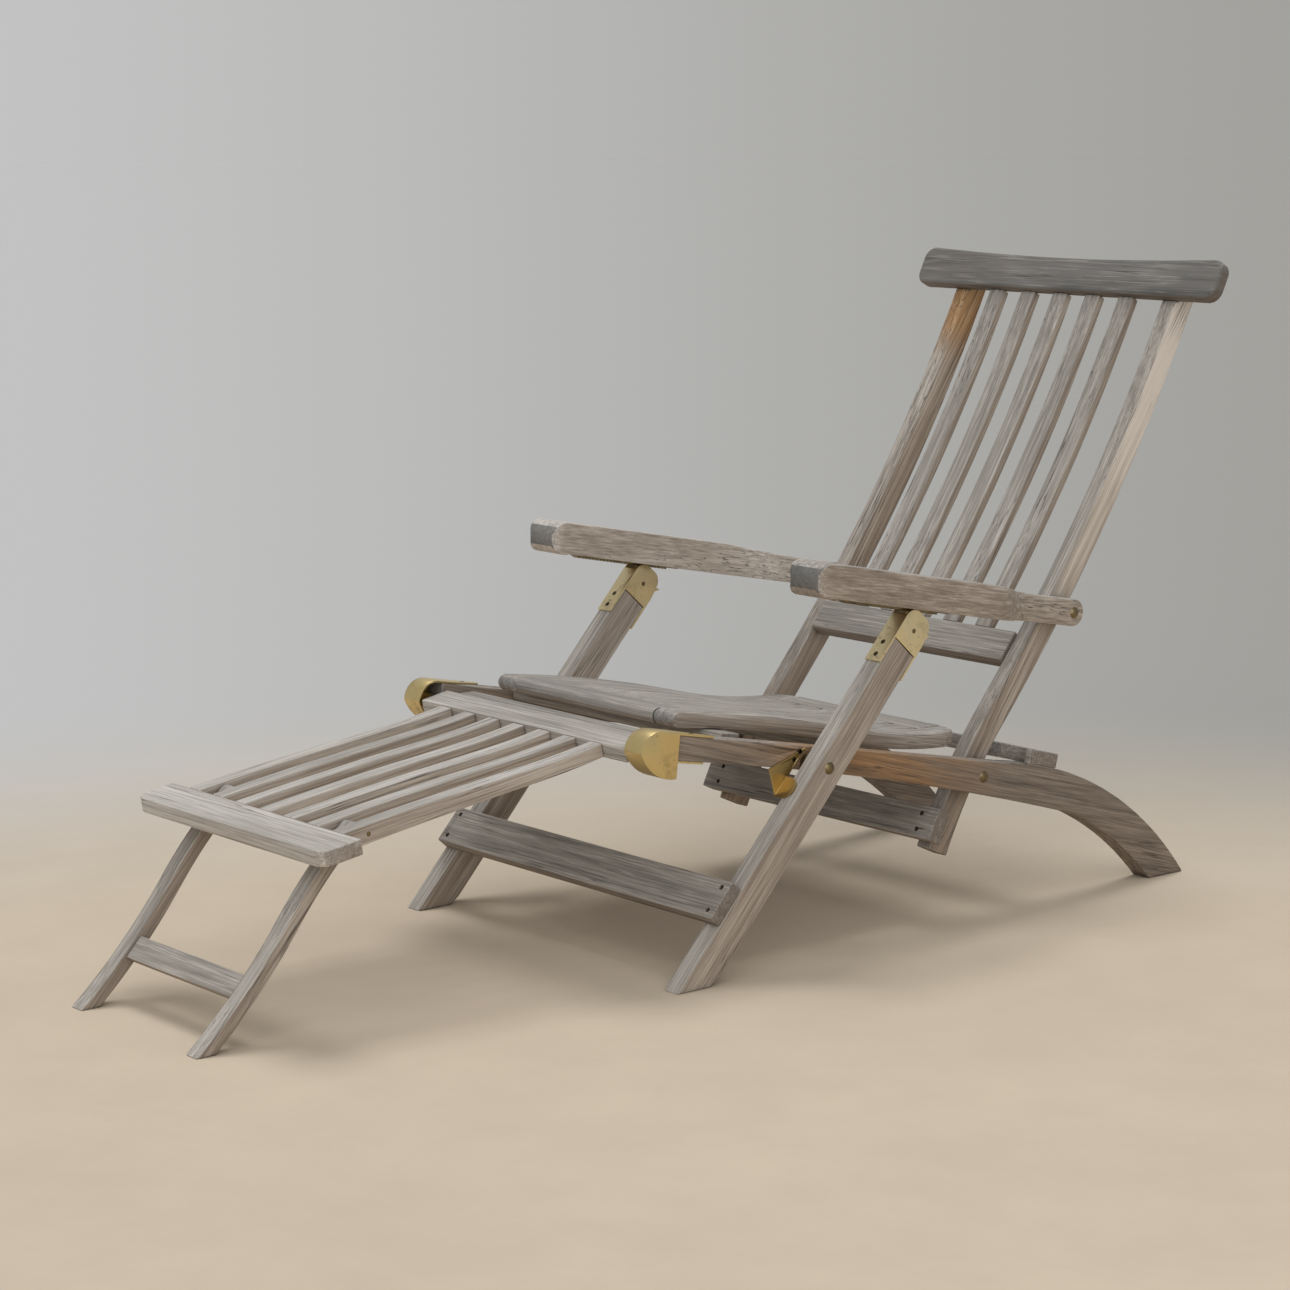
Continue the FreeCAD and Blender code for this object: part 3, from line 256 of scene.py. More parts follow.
world = bpy.data.worlds.new("studio")
world.use_nodes = True
scene.world = world
sky = Paint(world.node_tree)
seen = sky.node("ShaderNodeLightPath", None, None, "Is Camera Ray")
way = sky.node("ShaderNodeTexCoord", None, None, "Generated")
share = side_share(way, way)
light = sky.node("ShaderNodeBackground", None, {"Color": (1, 1, 1, 1), "Strength": SKY_STRENGTH})
shades = []
for colour in SKY_SIDES:
    shades.append(sky.node("ShaderNodeBackground", None, {"Color": (*colour, 1), "Strength": 1.0}))
shown = sky.node("ShaderNodeMixShader", None, {0: share, 1: shades[0], 2: shades[1]})
both = sky.node("ShaderNodeMixShader", None, {0: seen, 1: light, 2: shown})
world.node_tree.links.new(both.socket, world.node_tree.nodes["World Output"].inputs["Surface"])
print("sky nodes:", len(world.node_tree.nodes))

# %% [markdown]
# ## Floor
# The studio floor is painted concrete, pale beige and a little blotchy. A wall behind the chair would
# get in the way of every other view. So a very large disc fades to the sky's own colour, painted shade to
# the right included, divided by the light that falls on it, and no horizon shows. It lies a hair below
# the feet of the chair, so that no two faces share a plane.

# %% Floor
FLOOR_RADIUS, FLOOR_SIDES = 60.0, 96
FLOOR_DROP = 0.0004
FLOOR_BEIGE = (0.605, 0.515, 0.402)
FLOOR_CLOUD = (0.9, 0.9, 0.9)
FLOOR_SAND = (7.0, 7.0, 7.0)
DARKEST, CLOUDY, SANDY = 0.79, 0.18, 0.15
BLACK_TO_WHITE = [(0.0, (0, 0, 0)), (1.0, (1, 1, 1))]
FADE_CENTRE = tuple(level_back)
FADE_REACH = (1.15, 2.7)

disc = bmesh.new()
bmesh.ops.create_circle(disc, cap_ends=True, segments=FLOOR_SIDES, radius=FLOOR_RADIUS)
bmesh.ops.translate(disc, verts=disc.verts, vec=(0, 0, -FLOOR_DROP))
floor_mesh = bpy.data.meshes.new("floor")
disc.to_mesh(floor_mesh)
disc.free()
floor = bpy.data.objects.new("floor", floor_mesh)
scene.collection.objects.link(floor)

material, paint, shader = new_finish("pale_floor")
place = paint.node("ShaderNodeTexCoord", None, None, "Object")
away = place.apart(FADE_CENTRE).between(*FADE_REACH)
cloud = place.stretched(*FLOOR_CLOUD).noise(3.0)
sand = place.stretched(*FLOOR_SAND).noise(5.0, 0.7)
shade = (DARKEST + CLOUDY * cloud + SANDY * sand).ramp(BLACK_TO_WHITE)
gaze = place.node("ShaderNodeVectorMath", {"operation": "SUBTRACT"}, {0: place, 1: CAMERA_PLACE})
# The far floor takes the sky's colours, with the painted shade to the right.
far_sides = [tuple(part / level for part in colour) for colour in SKY_SIDES]
share = side_share(gaze.unit(), place.unit())
colour = share.blend(*far_sides).mixed(FLOOR_BEIGE, 1 - away)
colour = colour.mixed(shade, 1 - away, "MULTIPLY")
feed(shader, Base_Color=colour, Roughness=0.8, Specular_IOR_Level=0.0)
floor_mesh.materials.append(material)
print("floor radius", FLOOR_RADIUS)

# %% [markdown]
# ## Sticks in a mesh
# Some nodes hold several sticks in one mesh, such as the slats of the seat. Walking along the edges
# finds the vertices that hang together. The main axes of a stick's faces then say which way it runs.
# Edit Mode could separate the loose parts, but then each would be an object of its own.


# %% Sticks
def islands(mesh):
    """Lists of the vertices that hang together, one for each stick in a mesh."""
    near = [[] for _ in mesh.vertices]
    for a, b in (edge.vertices for edge in mesh.edges):
        near[a].append(b)
        near[b].append(a)
    seen, groups = set(), []
    for start in range(len(near)):
        if start in seen:
            continue
        group, todo = [], [start]
        seen.add(start)
        while todo:
            here = todo.pop()
            group.append(here)
            fresh = [other for other in near[here] if other not in seen]
            seen.update(fresh)
            todo.extend(fresh)
        groups.append(group)
    return groups


def main_axes(places, weights):
    """Centre and three axes of a stick, the longest first."""
    centre = np.average(places, axis=0, weights=weights)
    spread = (places - centre).T @ ((places - centre) * weights[:, None])
    axes = np.linalg.eigh(spread)[1][:, ::-1]
    return centre, axes


print("meshes to walk through:", len(frame["nodes"]))

# %% [markdown]
# ## Wood that remembers its own grain
# Every stick was sawn from a board, so its grain runs straight along its length, even where its outline
# bends. Object coordinates run the same way for all pieces and would draw the grain across half of
# them. Instead each stick gets an attribute with its own measures: along, across and through. Five
# more values say how pale and how warm it is, how much painted light brightens its upper end, whether
# a face saw the sun, and whether it is a cut end.

# %% Grain attributes
SUN_WAY = Vector((0.0, -0.55, 0.83))
END_COSINE = 0.80
GRAIN_SHIFT = 20
TONE_STEP = 0.04


def set_values(mesh, name, domain, values):
    """A named value for each point or each face of a mesh."""
    mesh.attributes.new(name, "FLOAT", domain).data.foreach_set("value", values)


def add_grain(mesh, low_tone, high_tone, warmth, bleach, end, seed):
    """Writes the grain, tone, warmth, painted side light, sun and end attributes of the sticks in a mesh.
    """
    places = np.array([vertex.co for vertex in mesh.vertices])
    normals = np.array([face.normal for face in mesh.polygons])
    grain, tones, rises = np.zeros_like(places), np.zeros(len(places)), np.zeros(len(places))
    ends = np.zeros(len(normals))
    random = np.random.default_rng(seed)
    owner = np.zeros(len(places), int)
    groups = islands(mesh)
    for number, group in enumerate(groups):
        owner[group] = number
    face_owner = np.array([owner[face.vertices[0]] for face in mesh.polygons])
    for number, group in enumerate(groups):
        mine = face_owner == number
        centres = np.array([face.center for face in mesh.polygons])[mine]
        areas = np.array([face.area for face in mesh.polygons])[mine]
        centre, axes = main_axes(centres, areas)
        grain[group] = (places[group] - centre) @ axes + random.uniform(-GRAIN_SHIFT, GRAIN_SHIFT, 3)
        heights = places[group][:, 2]
        rises[group] = (heights - heights.min()) / np.ptp(heights)
        tones[group] = low_tone + (high_tone - low_tone) * rises[group]
        tones[group] += random.uniform(-TONE_STEP, TONE_STEP)
        ends[mine] = end * (np.abs(normals[mine] @ axes[:, 0]) > END_COSINE)
    vectors = mesh.attributes.new("grain", "FLOAT_VECTOR", "POINT")
    vectors.data.foreach_set("vector", grain.ravel())
    set_values(mesh, "tone", "POINT", tones)
    # Painted light towards the upper end, used on the near post's side faces.
    set_values(mesh, "bleach", "POINT", bleach * rises ** 2)
    set_values(mesh, "warmth", "FACE", np.full(len(normals), warmth))
    set_values(mesh, "end", "FACE", ends)
    set_values(mesh, "sun", "FACE", np.clip(normals @ np.array(SUN_WAY), 0.0, 1.0))
    return len(groups)


print("sun from", tuple(round(part, 2) for part in SUN_WAY))

# %% [markdown]
# ## Marks of age
# Fine fibres, broader streaks and large clouds make the grain of a stick, with silver flecks and a few
# long cracks. Hands and weather rub the edges, and these also take a painted highlight. Dirt stays in
# the joints and gaps, darkened further by painted shade, and some places under the headboard and the
# seat never see rain. Each of these is a mask from 0 to 1. Masks could be painted by hand, but they
# would have to be painted again for every piece, and these are not.

# %% Masks
FIBRE = (9.0, 500.0, 500.0)
STREAK = (2.6, 150.0, 150.0)
CLOUD = (4.0, 16.0, 16.0)
FLECK = (11.0, 340.0, 340.0)
CHECK = (2.4, 210.0, 210.0)
FLECKED = (0.53, 0.70)
CRACK_WIDTH = (0.004, 0.018)
CRACKED = (0.46, 0.60)
MIDDLE = 0.5
RAYS = 6
# Edge mask: rubbed arrises, which on the wood also take a painted highlight.
EDGE_REACH, WORN_AND_HIGHLIT = 0.0035, (0.04, 0.22)
# Painted shade, partly dirt: how far the occlusion mask in joints and gaps reaches, and its range.
GAP_SHADE_REACH, GAP_SHADED = 0.012, (0.30, 0.85)
SHELTER_CORE = 0.35
SHELTERED = {
    "far post under the headboard": ((-0.185, 0.735, 0.775), 0.14),
    "near rail under the seat": ((0.225, 0.16, 0.215), 0.24),
    "far rail under the seat": ((-0.225, 0.16, 0.215), 0.24),
}


def wood_grain(paint):
    """Fibres, streaks, clouds, silver flecks and cracks along the stick."""
    grain = paint.attribute("grain", "Vector")
    fibre = grain.stretched(*FIBRE).noise(4.0, 0.7)
    streak = grain.stretched(*STREAK).noise(4.0, 0.65)
    cloud = grain.stretched(*CLOUD).noise(3.0)
    fleck = grain.stretched(*FLECK).noise(3.0, 0.65).between(*FLECKED)
    ridge = abs(grain.stretched(*CHECK).noise(2.0) - MIDDLE)
    crack = (1 - ridge.between(*CRACK_WIDTH)) * cloud.between(*CRACKED)
    return fibre, streak, cloud, fleck, crack


def worn_and_highlit_edges(paint):
    """1 on the arrises, which hands and weather have rubbed and which take a painted highlight on the
    wood, 0 on the flats.
    """
    eased = paint.node("ShaderNodeBevel", {"samples": RAYS}, {"Radius": EDGE_REACH})
    flat = paint.node("ShaderNodeNewGeometry", None, None, "Normal")
    return (1 - eased.along(flat)).between(*WORN_AND_HIGHLIT)


def gap_shade_and_grime(paint):
    """1 deep in the joints and gaps, where dirt stays and painted shade darkens the wood, and 0 on open
    faces.
    """
    settings = {"samples": RAYS}
    open_share = paint.node("ShaderNodeAmbientOcclusion", settings, {"Distance": GAP_SHADE_REACH}, "AO")
    return (1 - open_share).between(*GAP_SHADED)


def sheltered(paint):
    """1 in the middle of the places that rain doesn't reach, falling to 0 at their rims."""
    place = paint.node("ShaderNodeTexCoord", None, None, "Object")
    shares = []
    for centre, reach in SHELTERED.values():
        shares.append(1 - place.apart(centre).between(SHELTER_CORE * reach, reach))
    return sum(shares[1:], shares[0])


print("sheltered places:", list(SHELTERED))

# %% [markdown]
# ## Silvered teak
# Teak left outdoors turns grey where sun and rain reach it and stays brown where they don't. The two
# colours are ramps over the same grain, mixed by the face's share of sun. Pale edges, worn and with a
# painted highlight, dark cut ends, cracks, and dirt with painted shade in the joints are laid over them,
# and where no rain falls the wood is still orange. The headboard is a darker board, more mottled than
# streaked. Bump comes from the same sums, so the light agrees with the colour.

# %% Teak finishes
STREAKS, FIBRES = 0.80, 1.00
SILVER_SPREAD, SILVERED = 0.5, (0.02, 0.50)
STAIN_BASE, STAIN_STREAK, STAINED = 0.10, 0.5, (0.45, 0.90)
EDGE_FIBRE, PALE_EDGE_STREAKS, EDGE_PALE = 0.3, (0.42, 0.80), 0.55
END_DARK, END_SPREAD = 0.60, 0.6
FLECK_SHADE, FLECK_SUN = 0.10, 0.28
# Dirt in the cracks; dirt and painted shade in the joints and gaps.
DIRT_AND_SHADE, CRACK_DIRT, JOINT_SHADE_AND_DIRT = (0.045, 0.036, 0.028), 0.75, 0.70
FIBRE_HIGH, STREAK_HIGH, CRACK_DEEP = 0.60, 0.40, 0.8
WOOD_BUMP = {"Strength": 0.5, "Distance": 0.0010}
WOOD_ROUGH, FIBRE_ROUGH = 0.70, 0.22


def teak_finish(name, brown, grey, warm, pale, end, streaky, mottled):
    """Weathered teak from its colours, and how much its streaks and its clouds show."""
    material, paint, shader = new_finish(name)
    fibre, streak, cloud, fleck, crack = wood_grain(paint)
    silvered = (paint.attribute("sun") + SILVER_SPREAD * (cloud - MIDDLE)).between(*SILVERED)
    # Painted light: the side faces of the near post grow paler towards its top.
    tone = paint.attribute("tone") + paint.attribute("bleach") * (1 - silvered)
    grain = STREAKS * (streak - MIDDLE) + FIBRES * (fibre - MIDDLE)
    value = tone + streaky * grain + mottled * (cloud - MIDDLE)
    stain = paint.attribute("warmth") * (STAIN_BASE + sheltered(paint))
    stain = stain * (cloud + STAIN_STREAK * streak).between(*STAINED)
    # Pale arrises: partly wear, partly a painted highlight.
    edge = worn_and_highlit_edges(paint) * (streak + EDGE_FIBRE * fibre).between(*PALE_EDGE_STREAKS)
    cut = paint.attribute("end") * (END_DARK + END_SPREAD * (cloud - MIDDLE))
    colour = value.ramp(brown).mixed(value.ramp(grey), silvered)
    colour = colour.mixed(pale, fleck * (FLECK_SHADE + FLECK_SUN * silvered))
    colour = colour.mixed(value.ramp(warm), stain)
    colour = colour.mixed(end, cut).mixed(pale, EDGE_PALE * edge)
    # Dirt in the cracks, then painted shade with dirt in the joints and gaps.
    colour = colour.mixed(DIRT_AND_SHADE, CRACK_DIRT * crack).mixed(DIRT_AND_SHADE, JOINT_SHADE_AND_DIRT * gap_shade_and_grime(paint))
    height = FIBRE_HIGH * fibre + STREAK_HIGH * streak - CRACK_DEEP * crack
    bump = paint.node("ShaderNodeBump", None, {**WOOD_BUMP, "Height": height}, "Normal")
    feed(shader, Base_Color=colour, Roughness=WOOD_ROUGH + FIBRE_ROUGH * fibre, Normal=bump)
    return material


TEAK = teak_finish(
    "weathered_teak",
    brown=[(0.0, (0.065, 0.049, 0.037)), (0.5, (0.300, 0.244, 0.196)), (1.0, (0.68, 0.61, 0.53))],
    grey=[(0.0, (0.070, 0.066, 0.060)), (0.5, (0.310, 0.284, 0.253)), (1.0, (0.70, 0.665, 0.615))],
    warm=[(0.0, (0.10, 0.048, 0.020)), (0.5, (0.34, 0.185, 0.075)), (1.0, (0.70, 0.50, 0.29))],
    pale=(0.62, 0.58, 0.52), end=(0.085, 0.088, 0.088), streaky=1.0, mottled=0.45)
DARK_TEAK = teak_finish(
    "dark_teak",
    brown=[(0.0, (0.07, 0.054, 0.042)), (0.5, (0.20, 0.165, 0.135)), (1.0, (0.44, 0.39, 0.33))],
    grey=[(0.0, (0.065, 0.063, 0.060)), (0.5, (0.185, 0.178, 0.167)), (1.0, (0.42, 0.41, 0.395))],
    warm=[(0.0, (0.08, 0.042, 0.020)), (0.5, (0.22, 0.13, 0.06)), (1.0, (0.50, 0.36, 0.22))],
    pale=(0.48, 0.44, 0.39), end=(0.10, 0.098, 0.094), streaky=0.65, mottled=1.5)
print("finishes:", TEAK.name, DARK_TEAK.name)

# %% [markdown]
# ## Easing the arrises
# No stick of an old chair has a knife edge. A Bevel modifier would round the rims of the bolt holes too
# and choke on their short facets. So each copy is merged, its flat triangles are joined into clean
# faces, and only long chains of sharp edges are bevelled: a rim smaller than a finger is left crisp.

# %% Sharp edges
SHARP_TURN = math.radians(28)


def sharp_chains(mesh):
    """Sharp edges, grouped where they meet end to end."""
    closed = [edge for edge in mesh.edges if len(edge.link_faces) == 2]
    left, chains = {edge for edge in closed if edge.calc_face_angle(0) > SHARP_TURN}, []
    while left:
        chain, todo = [], [left.pop()]
        while todo:
            edge = todo.pop()
            chain.append(edge)
            near = {other for vertex in edge.verts for other in vertex.link_edges} & left
            left -= near
            todo.extend(near)
        chains.append(chain)
    return chains


def reach_of(chain):
    """Longest side of the box round a chain of edges."""
    places = np.array([vertex.co for edge in chain for vertex in edge.verts])
    return max(places.max(0) - places.min(0))


print("edges count as sharp above", round(math.degrees(SHARP_TURN)), "degrees")

# %% Eased copies
WELD = 1e-5
FLAT_TURN = math.radians(0.5)
RIM_ACROSS = 0.022
EASE_STEPS = 2


def eased_mesh(node, ease):
    """A merged copy of a node's mesh with its long arrises rounded."""
    solid = bmesh.new()
    solid.from_mesh(frame["nodes"][node].data)
    bmesh.ops.remove_doubles(solid, verts=solid.verts, dist=WELD)
    bmesh.ops.dissolve_limit(solid, angle_limit=FLAT_TURN, verts=solid.verts, edges=solid.edges)
    arrises = [edge for chain in sharp_chains(solid) if reach_of(chain) > RIM_ACROSS for edge in chain]
    bmesh.ops.bevel(solid, geom=arrises, offset=ease, offset_type="OFFSET", segments=EASE_STEPS,
                    profile=0.5, affect="EDGES", clamp_overlap=False)
    mesh = bpy.data.meshes.new(node + ".worn")
    solid.to_mesh(mesh)
    solid.free()
    mesh.shade_smooth()
    mesh.set_sharp_from_angle(angle=SHARP_TURN)
    return mesh


def place_piece(name, mesh, material, node):
    """Puts a finished mesh in the place of a node, on the node's own body."""
    mesh.materials.clear()
    mesh.materials.append(material)
    piece = bpy.data.objects.new(name, mesh)
    scene.collection.objects.link(piece)
    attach(piece, BODY_OF[node])
    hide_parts(node)
    return piece


print("arrises longer than", RIM_ACROSS, "m are eased")

# %% [markdown]
# ## Each stick its own tone
# The leg rest and the back stood in the open and bleached. The side rails sat in the shade of the seat
# and kept their brown. A short table gives each kind of stick its tone at the lower and the upper end
# and its share of warm stain, and a small random step keeps neighbours from matching. The noses of the
# arms and the corners of the seat, where rain soaks into the end grain, have gone almost black. The
# seat was sanded rounder than the rest, for the sitter's sake, and so the gaps between its slats show.
# Painted light makes the side faces of the near post almost white towards its top.

# %% Wooden pieces
EASE = 0.0016
SEAT_EASE = 0.0045
TONES = {
    "side_rail": (0.22, 0.34, 0.8), "front_cross_rail": (0.42, 0.42, 0.1),
    "rear_cross_board": (0.46, 0.46, 0.1), "seat_side": (0.50, 0.50, 0.0),
    "seat_front_rail": (0.44, 0.44, 0.0), "seat_rear_rail": (0.48, 0.48, 0.0),
    "seat_slats": (0.50, 0.50, 0.0), "seat_bearers": (0.36, 0.36, 0.1),
    "front_leg": (0.62, 0.56, 0.0), "front_stretcher": (0.42, 0.42, 0.0),
    "back_post": (0.50, 0.52, 1.0), "back_post_right": (0.38, 0.52, 0.3),
    "back_slat": (0.52, 0.52, 0.0), "low_back_rail": (0.40, 0.40, 0.0),
    "headboard": (0.39, 0.39, 0.1), "back_stretcher": (0.38, 0.38, 0.0),
    "arm": (0.54, 0.54, 0.0), "arm_left": (0.76, 0.76, 0.0),
    "rest_leg": (0.54, 0.45, 0.0), "rest_slat": (0.68, 0.62, 0.0),
    "rest_hinge_rail": (0.58, 0.58, 0.0), "foot_board": (0.66, 0.66, 0.0),
    "rest_stretcher": (0.52, 0.52, 0.0),
}
SOAKED_END, DRY_END = 1.3, 0.5
SOAKED = ("arm_", "seat_front")
ROUNDED = ("seat_side", "seat_slats")
# Painted light on the side faces of the near post, towards its top.
PAINTED_SIDE_LIGHT = {"back_post_right": 0.85}


def kind_of(node):
    """The row of the tone table that fits a node best: the longest name that it starts with."""
    return max((kind for kind in TONES if node.startswith(kind)), key=len)


wooden = [node for node in BODY_OF if SLOT_OF[node].startswith("teak")]
sticks = 0
for seed, node in enumerate(wooden):
    mesh = eased_mesh(node, SEAT_EASE if node.startswith(ROUNDED) else EASE)
    end = SOAKED_END if node.startswith(SOAKED) else DRY_END
    sticks += add_grain(mesh, *TONES[kind_of(node)], PAINTED_SIDE_LIGHT.get(node, 0.0), end, seed)
    place_piece(node + ".worn", mesh, DARK_TEAK if node == "headboard" else TEAK, node)
print("wooden nodes:", len(wooden), "sticks:", sticks)

# %% [markdown]
# ## Aged brass
# The fittings are cast and pressed brass that nobody polishes any more: yellow where a hand or a moving
# part rubs, brown and dull elsewhere, with fine scratches from cleaning. Metal shows its age in its
# roughness more than in its colour, so one cloud drives both.

# %% Brass finish
SCRATCH = (60.0, 900.0, 900.0)
PATCH = (26.0, 26.0, 26.0)
SPECK = (240.0, 240.0, 240.0)
SPECK_BROWN, SPECKED = (0.10, 0.07, 0.03), (0.66, 0.76)
SPECK_SPREAD, SPECK_SHARE = 0.25, 0.5
DULL_FROM, DULL_TO, PATINA_SHIFT = 0.75, 1.05, 0.5
EDGE_BRIGHT = 0.7
BRASS_ROUGH, DULL_ROUGH, SCRATCH_ROUGH = 0.30, 0.22, 0.10
SCRATCH_DEEP, PATCH_DEEP = 0.6, 0.4
BRASS_BUMP = {"Strength": 0.12, "Distance": 0.0004}


def brass_finish(name, bright, dull, patina):
    """Old brass between a bright and a dull colour; patina says how much of it has gone dull."""
    material, paint, shader = new_finish(name)
    place = paint.node("ShaderNodeTexCoord", None, None, "Object")
    cloud = place.stretched(*PATCH).noise(4.0, 0.6)
    speck = place.stretched(*SPECK).noise(2.0)
    scratch = place.stretched(*SCRATCH).noise(2.0, 0.7)
    tarnish = cloud + SPECK_SPREAD * (speck - MIDDLE)
    shift = PATINA_SHIFT * patina
    tarnish = tarnish.between(DULL_FROM - shift, DULL_TO - shift)
    worn = tarnish * (1 - EDGE_BRIGHT * worn_and_highlit_edges(paint))
    colour = worn.blend(bright, dull).mixed(SPECK_BROWN, speck.between(*SPECKED) * SPECK_SHARE)
    rough = BRASS_ROUGH + DULL_ROUGH * worn + SCRATCH_ROUGH * scratch
    height = SCRATCH_DEEP * scratch + PATCH_DEEP * cloud
    bump = paint.node("ShaderNodeBump", None, {**BRASS_BUMP, "Height": height}, "Normal")
    feed(shader, Base_Color=colour, Metallic=1.0, Roughness=rough, Normal=bump)
    return material


CUP_BRASS = brass_finish("cup_brass", (0.70, 0.55, 0.26), (0.40, 0.31, 0.15), 0.5)
CATCH_BRASS = brass_finish("catch_brass", (0.80, 0.67, 0.40), (0.50, 0.41, 0.24), 0.5)
STOP_BRASS = brass_finish("stop_brass", (0.48, 0.345, 0.145), (0.25, 0.18, 0.08), 0.5)
BOLT_BRASS = brass_finish("bolt_brass", (0.24, 0.185, 0.10), (0.11, 0.085, 0.05), 0.7)
SCREW_BRASS = brass_finish("screw_brass", (0.16, 0.12, 0.07), (0.06, 0.045, 0.03), 0.7)
BRASSES = CUP_BRASS, CATCH_BRASS, STOP_BRASS, BOLT_BRASS, SCREW_BRASS
print("finishes:", [finish.name for finish in BRASSES])

# %% [markdown]
# ## Fittings in place
# The hinge cups, leg stops, catches, triggers and racks are cast or pressed, and their edges are only
# just broken. They get eased copies like the wood. Bolts, pins and washers are turned and already
# round, so a copy would add nothing: they keep the mesh of the frame and take on the finish.

# %% Brass pieces
BRASS_EASE = 0.0004
# The racks take the dark bolt brass: partly their age, partly painted shade, since they sit in shadow
# under the arms.
EASED_BRASS = {"hinge_cup": CUP_BRASS, "leg_stop": STOP_BRASS, "leg_catch": CATCH_BRASS,
               "catch_trigger": CATCH_BRASS, "rack": BOLT_BRASS}

fittings = [node for node in BODY_OF if SLOT_OF[node] == "brass"]
for node in fittings:
    kind = next((kind for kind in EASED_BRASS if node.startswith(kind)), None)
    if kind:
        place_piece(node + ".worn", eased_mesh(node, BRASS_EASE), EASED_BRASS[kind], node)
    else:
        solid = frame["nodes"][node]
        solid.data.materials.clear()
        solid.data.materials.append(BOLT_BRASS)
print("brass nodes:", len(fittings))

# %% [markdown]
# ## Slotted screws by rule
# The screws are all alike: a flat head with one slot, a plain shank, turned to wherever the last twist
# of the driver left it. Geometry Nodes suit this: one point for each head, one screw made from named
# sizes, one random turn from a fixed seed. The places are read from the frame's own screws.

# %% Screw places
HEAD_SHARE = 0.8


def screw_places(node):
    """Head centre and outward direction of each screw in a node."""
    solid = bmesh.new()
    solid.from_mesh(frame["nodes"][node].data)
    bmesh.ops.remove_doubles(solid, verts=solid.verts, dist=WELD)
    mesh = bpy.data.meshes.new("screw_places")
    solid.to_mesh(mesh)
    solid.free()
    found = []
    for group in islands(mesh):
        places = np.array([mesh.vertices[index].co for index in group])
        centre, axes = main_axes(places, np.ones(len(places)))
        along = (places - centre) @ axes[:, 0]
        away = np.linalg.norm(places - centre - np.outer(along, axes[:, 0]), axis=1)
        head = along[away > HEAD_SHARE * away.max()]
        sign = np.sign(head.mean() - along.mean())
        outward = axes[:, 0] * sign
        found.append((centre + outward * (along * sign).max(), outward, away.max()))
    bpy.data.meshes.remove(mesh)
    return found


SCREW_NODES = [node for node in BODY_OF if SLOT_OF[node] == "screw"]
HEAD_RADIUS = max(away for node in SCREW_NODES for _, _, away in screw_places(node))
print("screw nodes:", SCREW_NODES, "head radius", round(HEAD_RADIUS * 1000, 2), "mm")

# %% [markdown]
# ## One screw for all
# A screw's head is a short cylinder, less a thin box for the slot, and its shank is a longer cylinder.
# The sizes are inputs of the tree, so another screw is only another set of numbers. Each copy is first
# turned along its hole and then twisted about it.

# %% Screw shape
SCREW_SIZES = {
    "Head radius": HEAD_RADIUS, "Head height": 0.0015, "Slot width": 0.0009, "Slot depth": 0.0007,
    "Shank radius": 0.002, "Shank length": 0.024,
}
SLOT_LENGTH = 0.02
HEAD_SIDES, SHANK_SIDES = 24, 10


def add(tree, kind, settings=None, **sockets):
    """One node of a geometry tree, with its settings, values and links."""
    made = tree.nodes.new(kind)
    for name, setting in (settings or {}).items():
        setattr(made, name, setting)
    for name, value in sockets.items():
        socket = made.inputs[name.replace("_", " ")]
        if isinstance(value, bpy.types.NodeSocket):
            tree.links.new(value, socket)
        else:
            socket.default_value = value
    return made


def lowered(tree, shape, depth):
    """A shape centred on its origin, moved down so that its top lies there."""
    half = add(tree, "ShaderNodeMath", {"operation": "MULTIPLY"})
    tree.links.new(depth, half.inputs[0])
    half.inputs[1].default_value = -0.5
    shift = add(tree, "ShaderNodeCombineXYZ", Z=half.outputs[0])
    return add(tree, "GeometryNodeTransform", Geometry=shape, Translation=shift.outputs[0]).outputs[0]


def round_bar(tree, sides, radius, depth):
    """An upright cylinder whose top lies at the origin."""
    bar = add(tree, "GeometryNodeMeshCylinder", Vertices=sides, Radius=radius, Depth=depth)
    return lowered(tree, bar.outputs["Mesh"], depth)


def slotted_screw(tree, size):
    """Geometry of one screw whose head lies under the origin."""
    head = round_bar(tree, HEAD_SIDES, size["Head radius"], size["Head height"])
    wide = add(tree, "ShaderNodeCombineXYZ", X=SLOT_LENGTH, Y=size["Slot width"], Z=size["Slot depth"])
    slot = add(tree, "GeometryNodeMeshCube", Size=wide.outputs[0])
    slot = lowered(tree, slot.outputs["Mesh"], size["Slot depth"])
    cut = add(tree, "GeometryNodeMeshBoolean", {"operation": "DIFFERENCE"}, Mesh_1=head)
    tree.links.new(slot, cut.inputs["Mesh 2"])
    shank = round_bar(tree, SHANK_SIDES, size["Shank radius"], size["Shank length"])
    both = add(tree, "GeometryNodeJoinGeometry")
    for shape in (shank, cut.outputs["Mesh"]):
        tree.links.new(shape, both.inputs["Geometry"])
    return both.outputs[0]


print("slot:", SCREW_SIZES["Slot width"] * 1000, "mm wide")


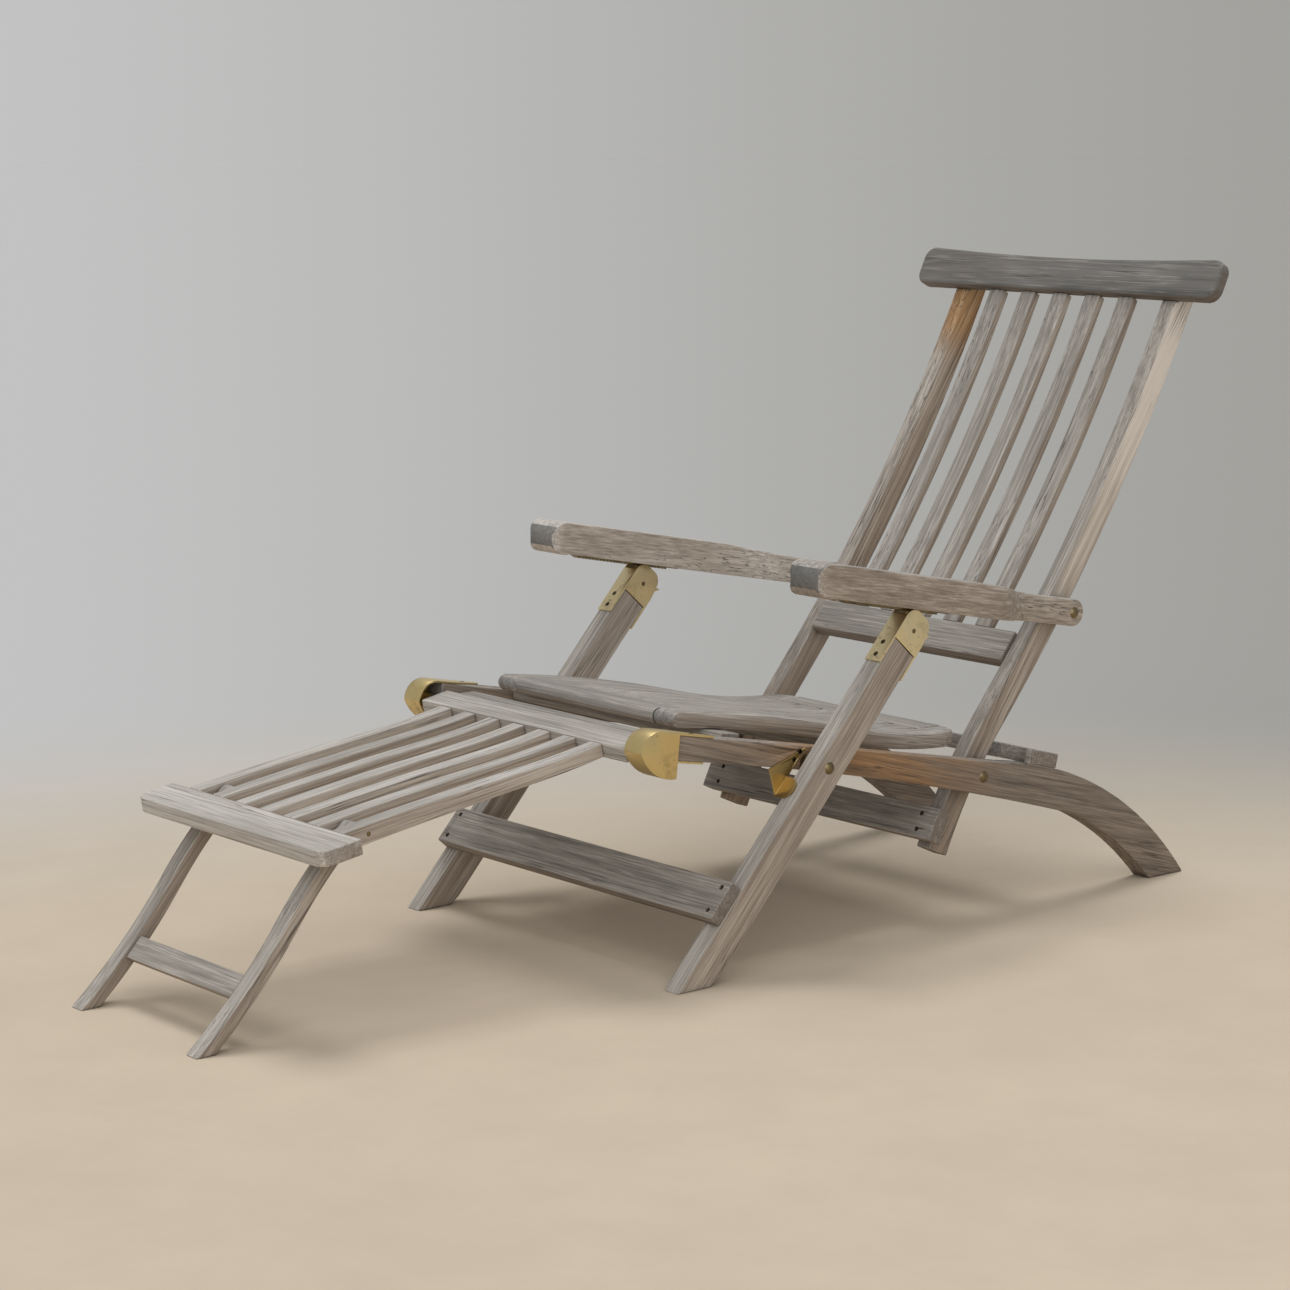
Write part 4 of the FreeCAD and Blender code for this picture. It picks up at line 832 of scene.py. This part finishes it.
# %% Screw tree
def screw_tree():
    """A screw on each point, turned along the point's own direction and by a random twist."""
    tree = bpy.data.node_groups.new("slotted_screws", "GeometryNodeTree")
    tree.interface.new_socket("Geometry", in_out="INPUT", socket_type="NodeSocketGeometry")
    for name in SCREW_SIZES:
        tree.interface.new_socket(name, in_out="INPUT", socket_type="NodeSocketFloat")
    tree.interface.new_socket("Seed", in_out="INPUT", socket_type="NodeSocketInt")
    tree.interface.new_socket("Geometry", in_out="OUTPUT", socket_type="NodeSocketGeometry")
    given = tree.nodes.new("NodeGroupInput").outputs
    drive = add(tree, "GeometryNodeInputNamedAttribute", {"data_type": "FLOAT_VECTOR"}, Name="outward")
    outward = drive.outputs["Attribute"]
    upright = add(tree, "FunctionNodeAlignRotationToVector", {"axis": "Z"}, Vector=outward)
    twist = add(tree, "FunctionNodeRandomValue", {"data_type": "FLOAT"}, Seed=given["Seed"])
    twist.inputs[3].default_value = math.pi
    angle = add(tree, "ShaderNodeCombineXYZ", Z=twist.outputs[1])
    turn = add(tree, "FunctionNodeEulerToRotation", Euler=angle.outputs[0])
    turned = add(tree, "FunctionNodeRotateRotation", {"rotation_space": "LOCAL"},
                 Rotation=upright.outputs[0], Rotate_By=turn.outputs[0])
    points = add(tree, "GeometryNodeMeshToPoints", Mesh=given["Geometry"])
    copies = add(tree, "GeometryNodeInstanceOnPoints", Points=points.outputs[0],
                 Instance=slotted_screw(tree, given), Rotation=turned.outputs[0])
    real = add(tree, "GeometryNodeRealizeInstances", Geometry=copies.outputs[0])
    finish = add(tree, "GeometryNodeSetMaterial", Geometry=real.outputs[0], Material=SCREW_BRASS)
    result = tree.nodes.new("NodeGroupOutput")
    tree.links.new(finish.outputs[0], result.inputs[0])
    return tree


SCREWS = screw_tree()
print("screw tree:", len(SCREWS.nodes), "nodes")

# %% [markdown]
# ## Screws in place
# A mesh of bare points, one at each head, carries the tree as a modifier for a moment. The result is
# kept as a plain mesh and the points are thrown away, so that nothing has to be worked out again when
# the chair is used elsewhere.

# %% Screw pieces
SCREW_SEED = 4


def screw_mesh(node):
    """Plain mesh of the screws that stand at a node's places."""
    found = screw_places(node)
    dots = bpy.data.meshes.new(node + ".dots")
    dots.from_pydata([place for place, _, _ in found], [], [])
    ways = dots.attributes.new("outward", "FLOAT_VECTOR", "POINT")
    ways.data.foreach_set("vector", np.array([way for _, way, _ in found]).ravel())
    maker = bpy.data.objects.new(node + ".maker", dots)
    modifier = maker.modifiers.new("screws", "NODES")
    modifier.node_group = SCREWS
    inputs = [item for item in SCREWS.interface.items_tree if item.in_out == "INPUT"]
    identifiers = {item.name: item.identifier for item in inputs}
    for name, value in {**SCREW_SIZES, "Seed": SCREW_SEED}.items():
        modifier[identifiers[name]] = value
    scene.collection.objects.link(maker)
    made = maker.evaluated_get(bpy.context.evaluated_depsgraph_get())
    mesh = bpy.data.meshes.new_from_object(made)
    maker.modifiers.remove(modifier)
    bpy.data.objects.remove(maker)
    return mesh


for node in SCREW_NODES:
    piece = place_piece(node + ".slotted", screw_mesh(node), SCREW_BRASS, node)
    print(piece.name, "faces:", len(piece.data.polygons))

# %% [markdown]
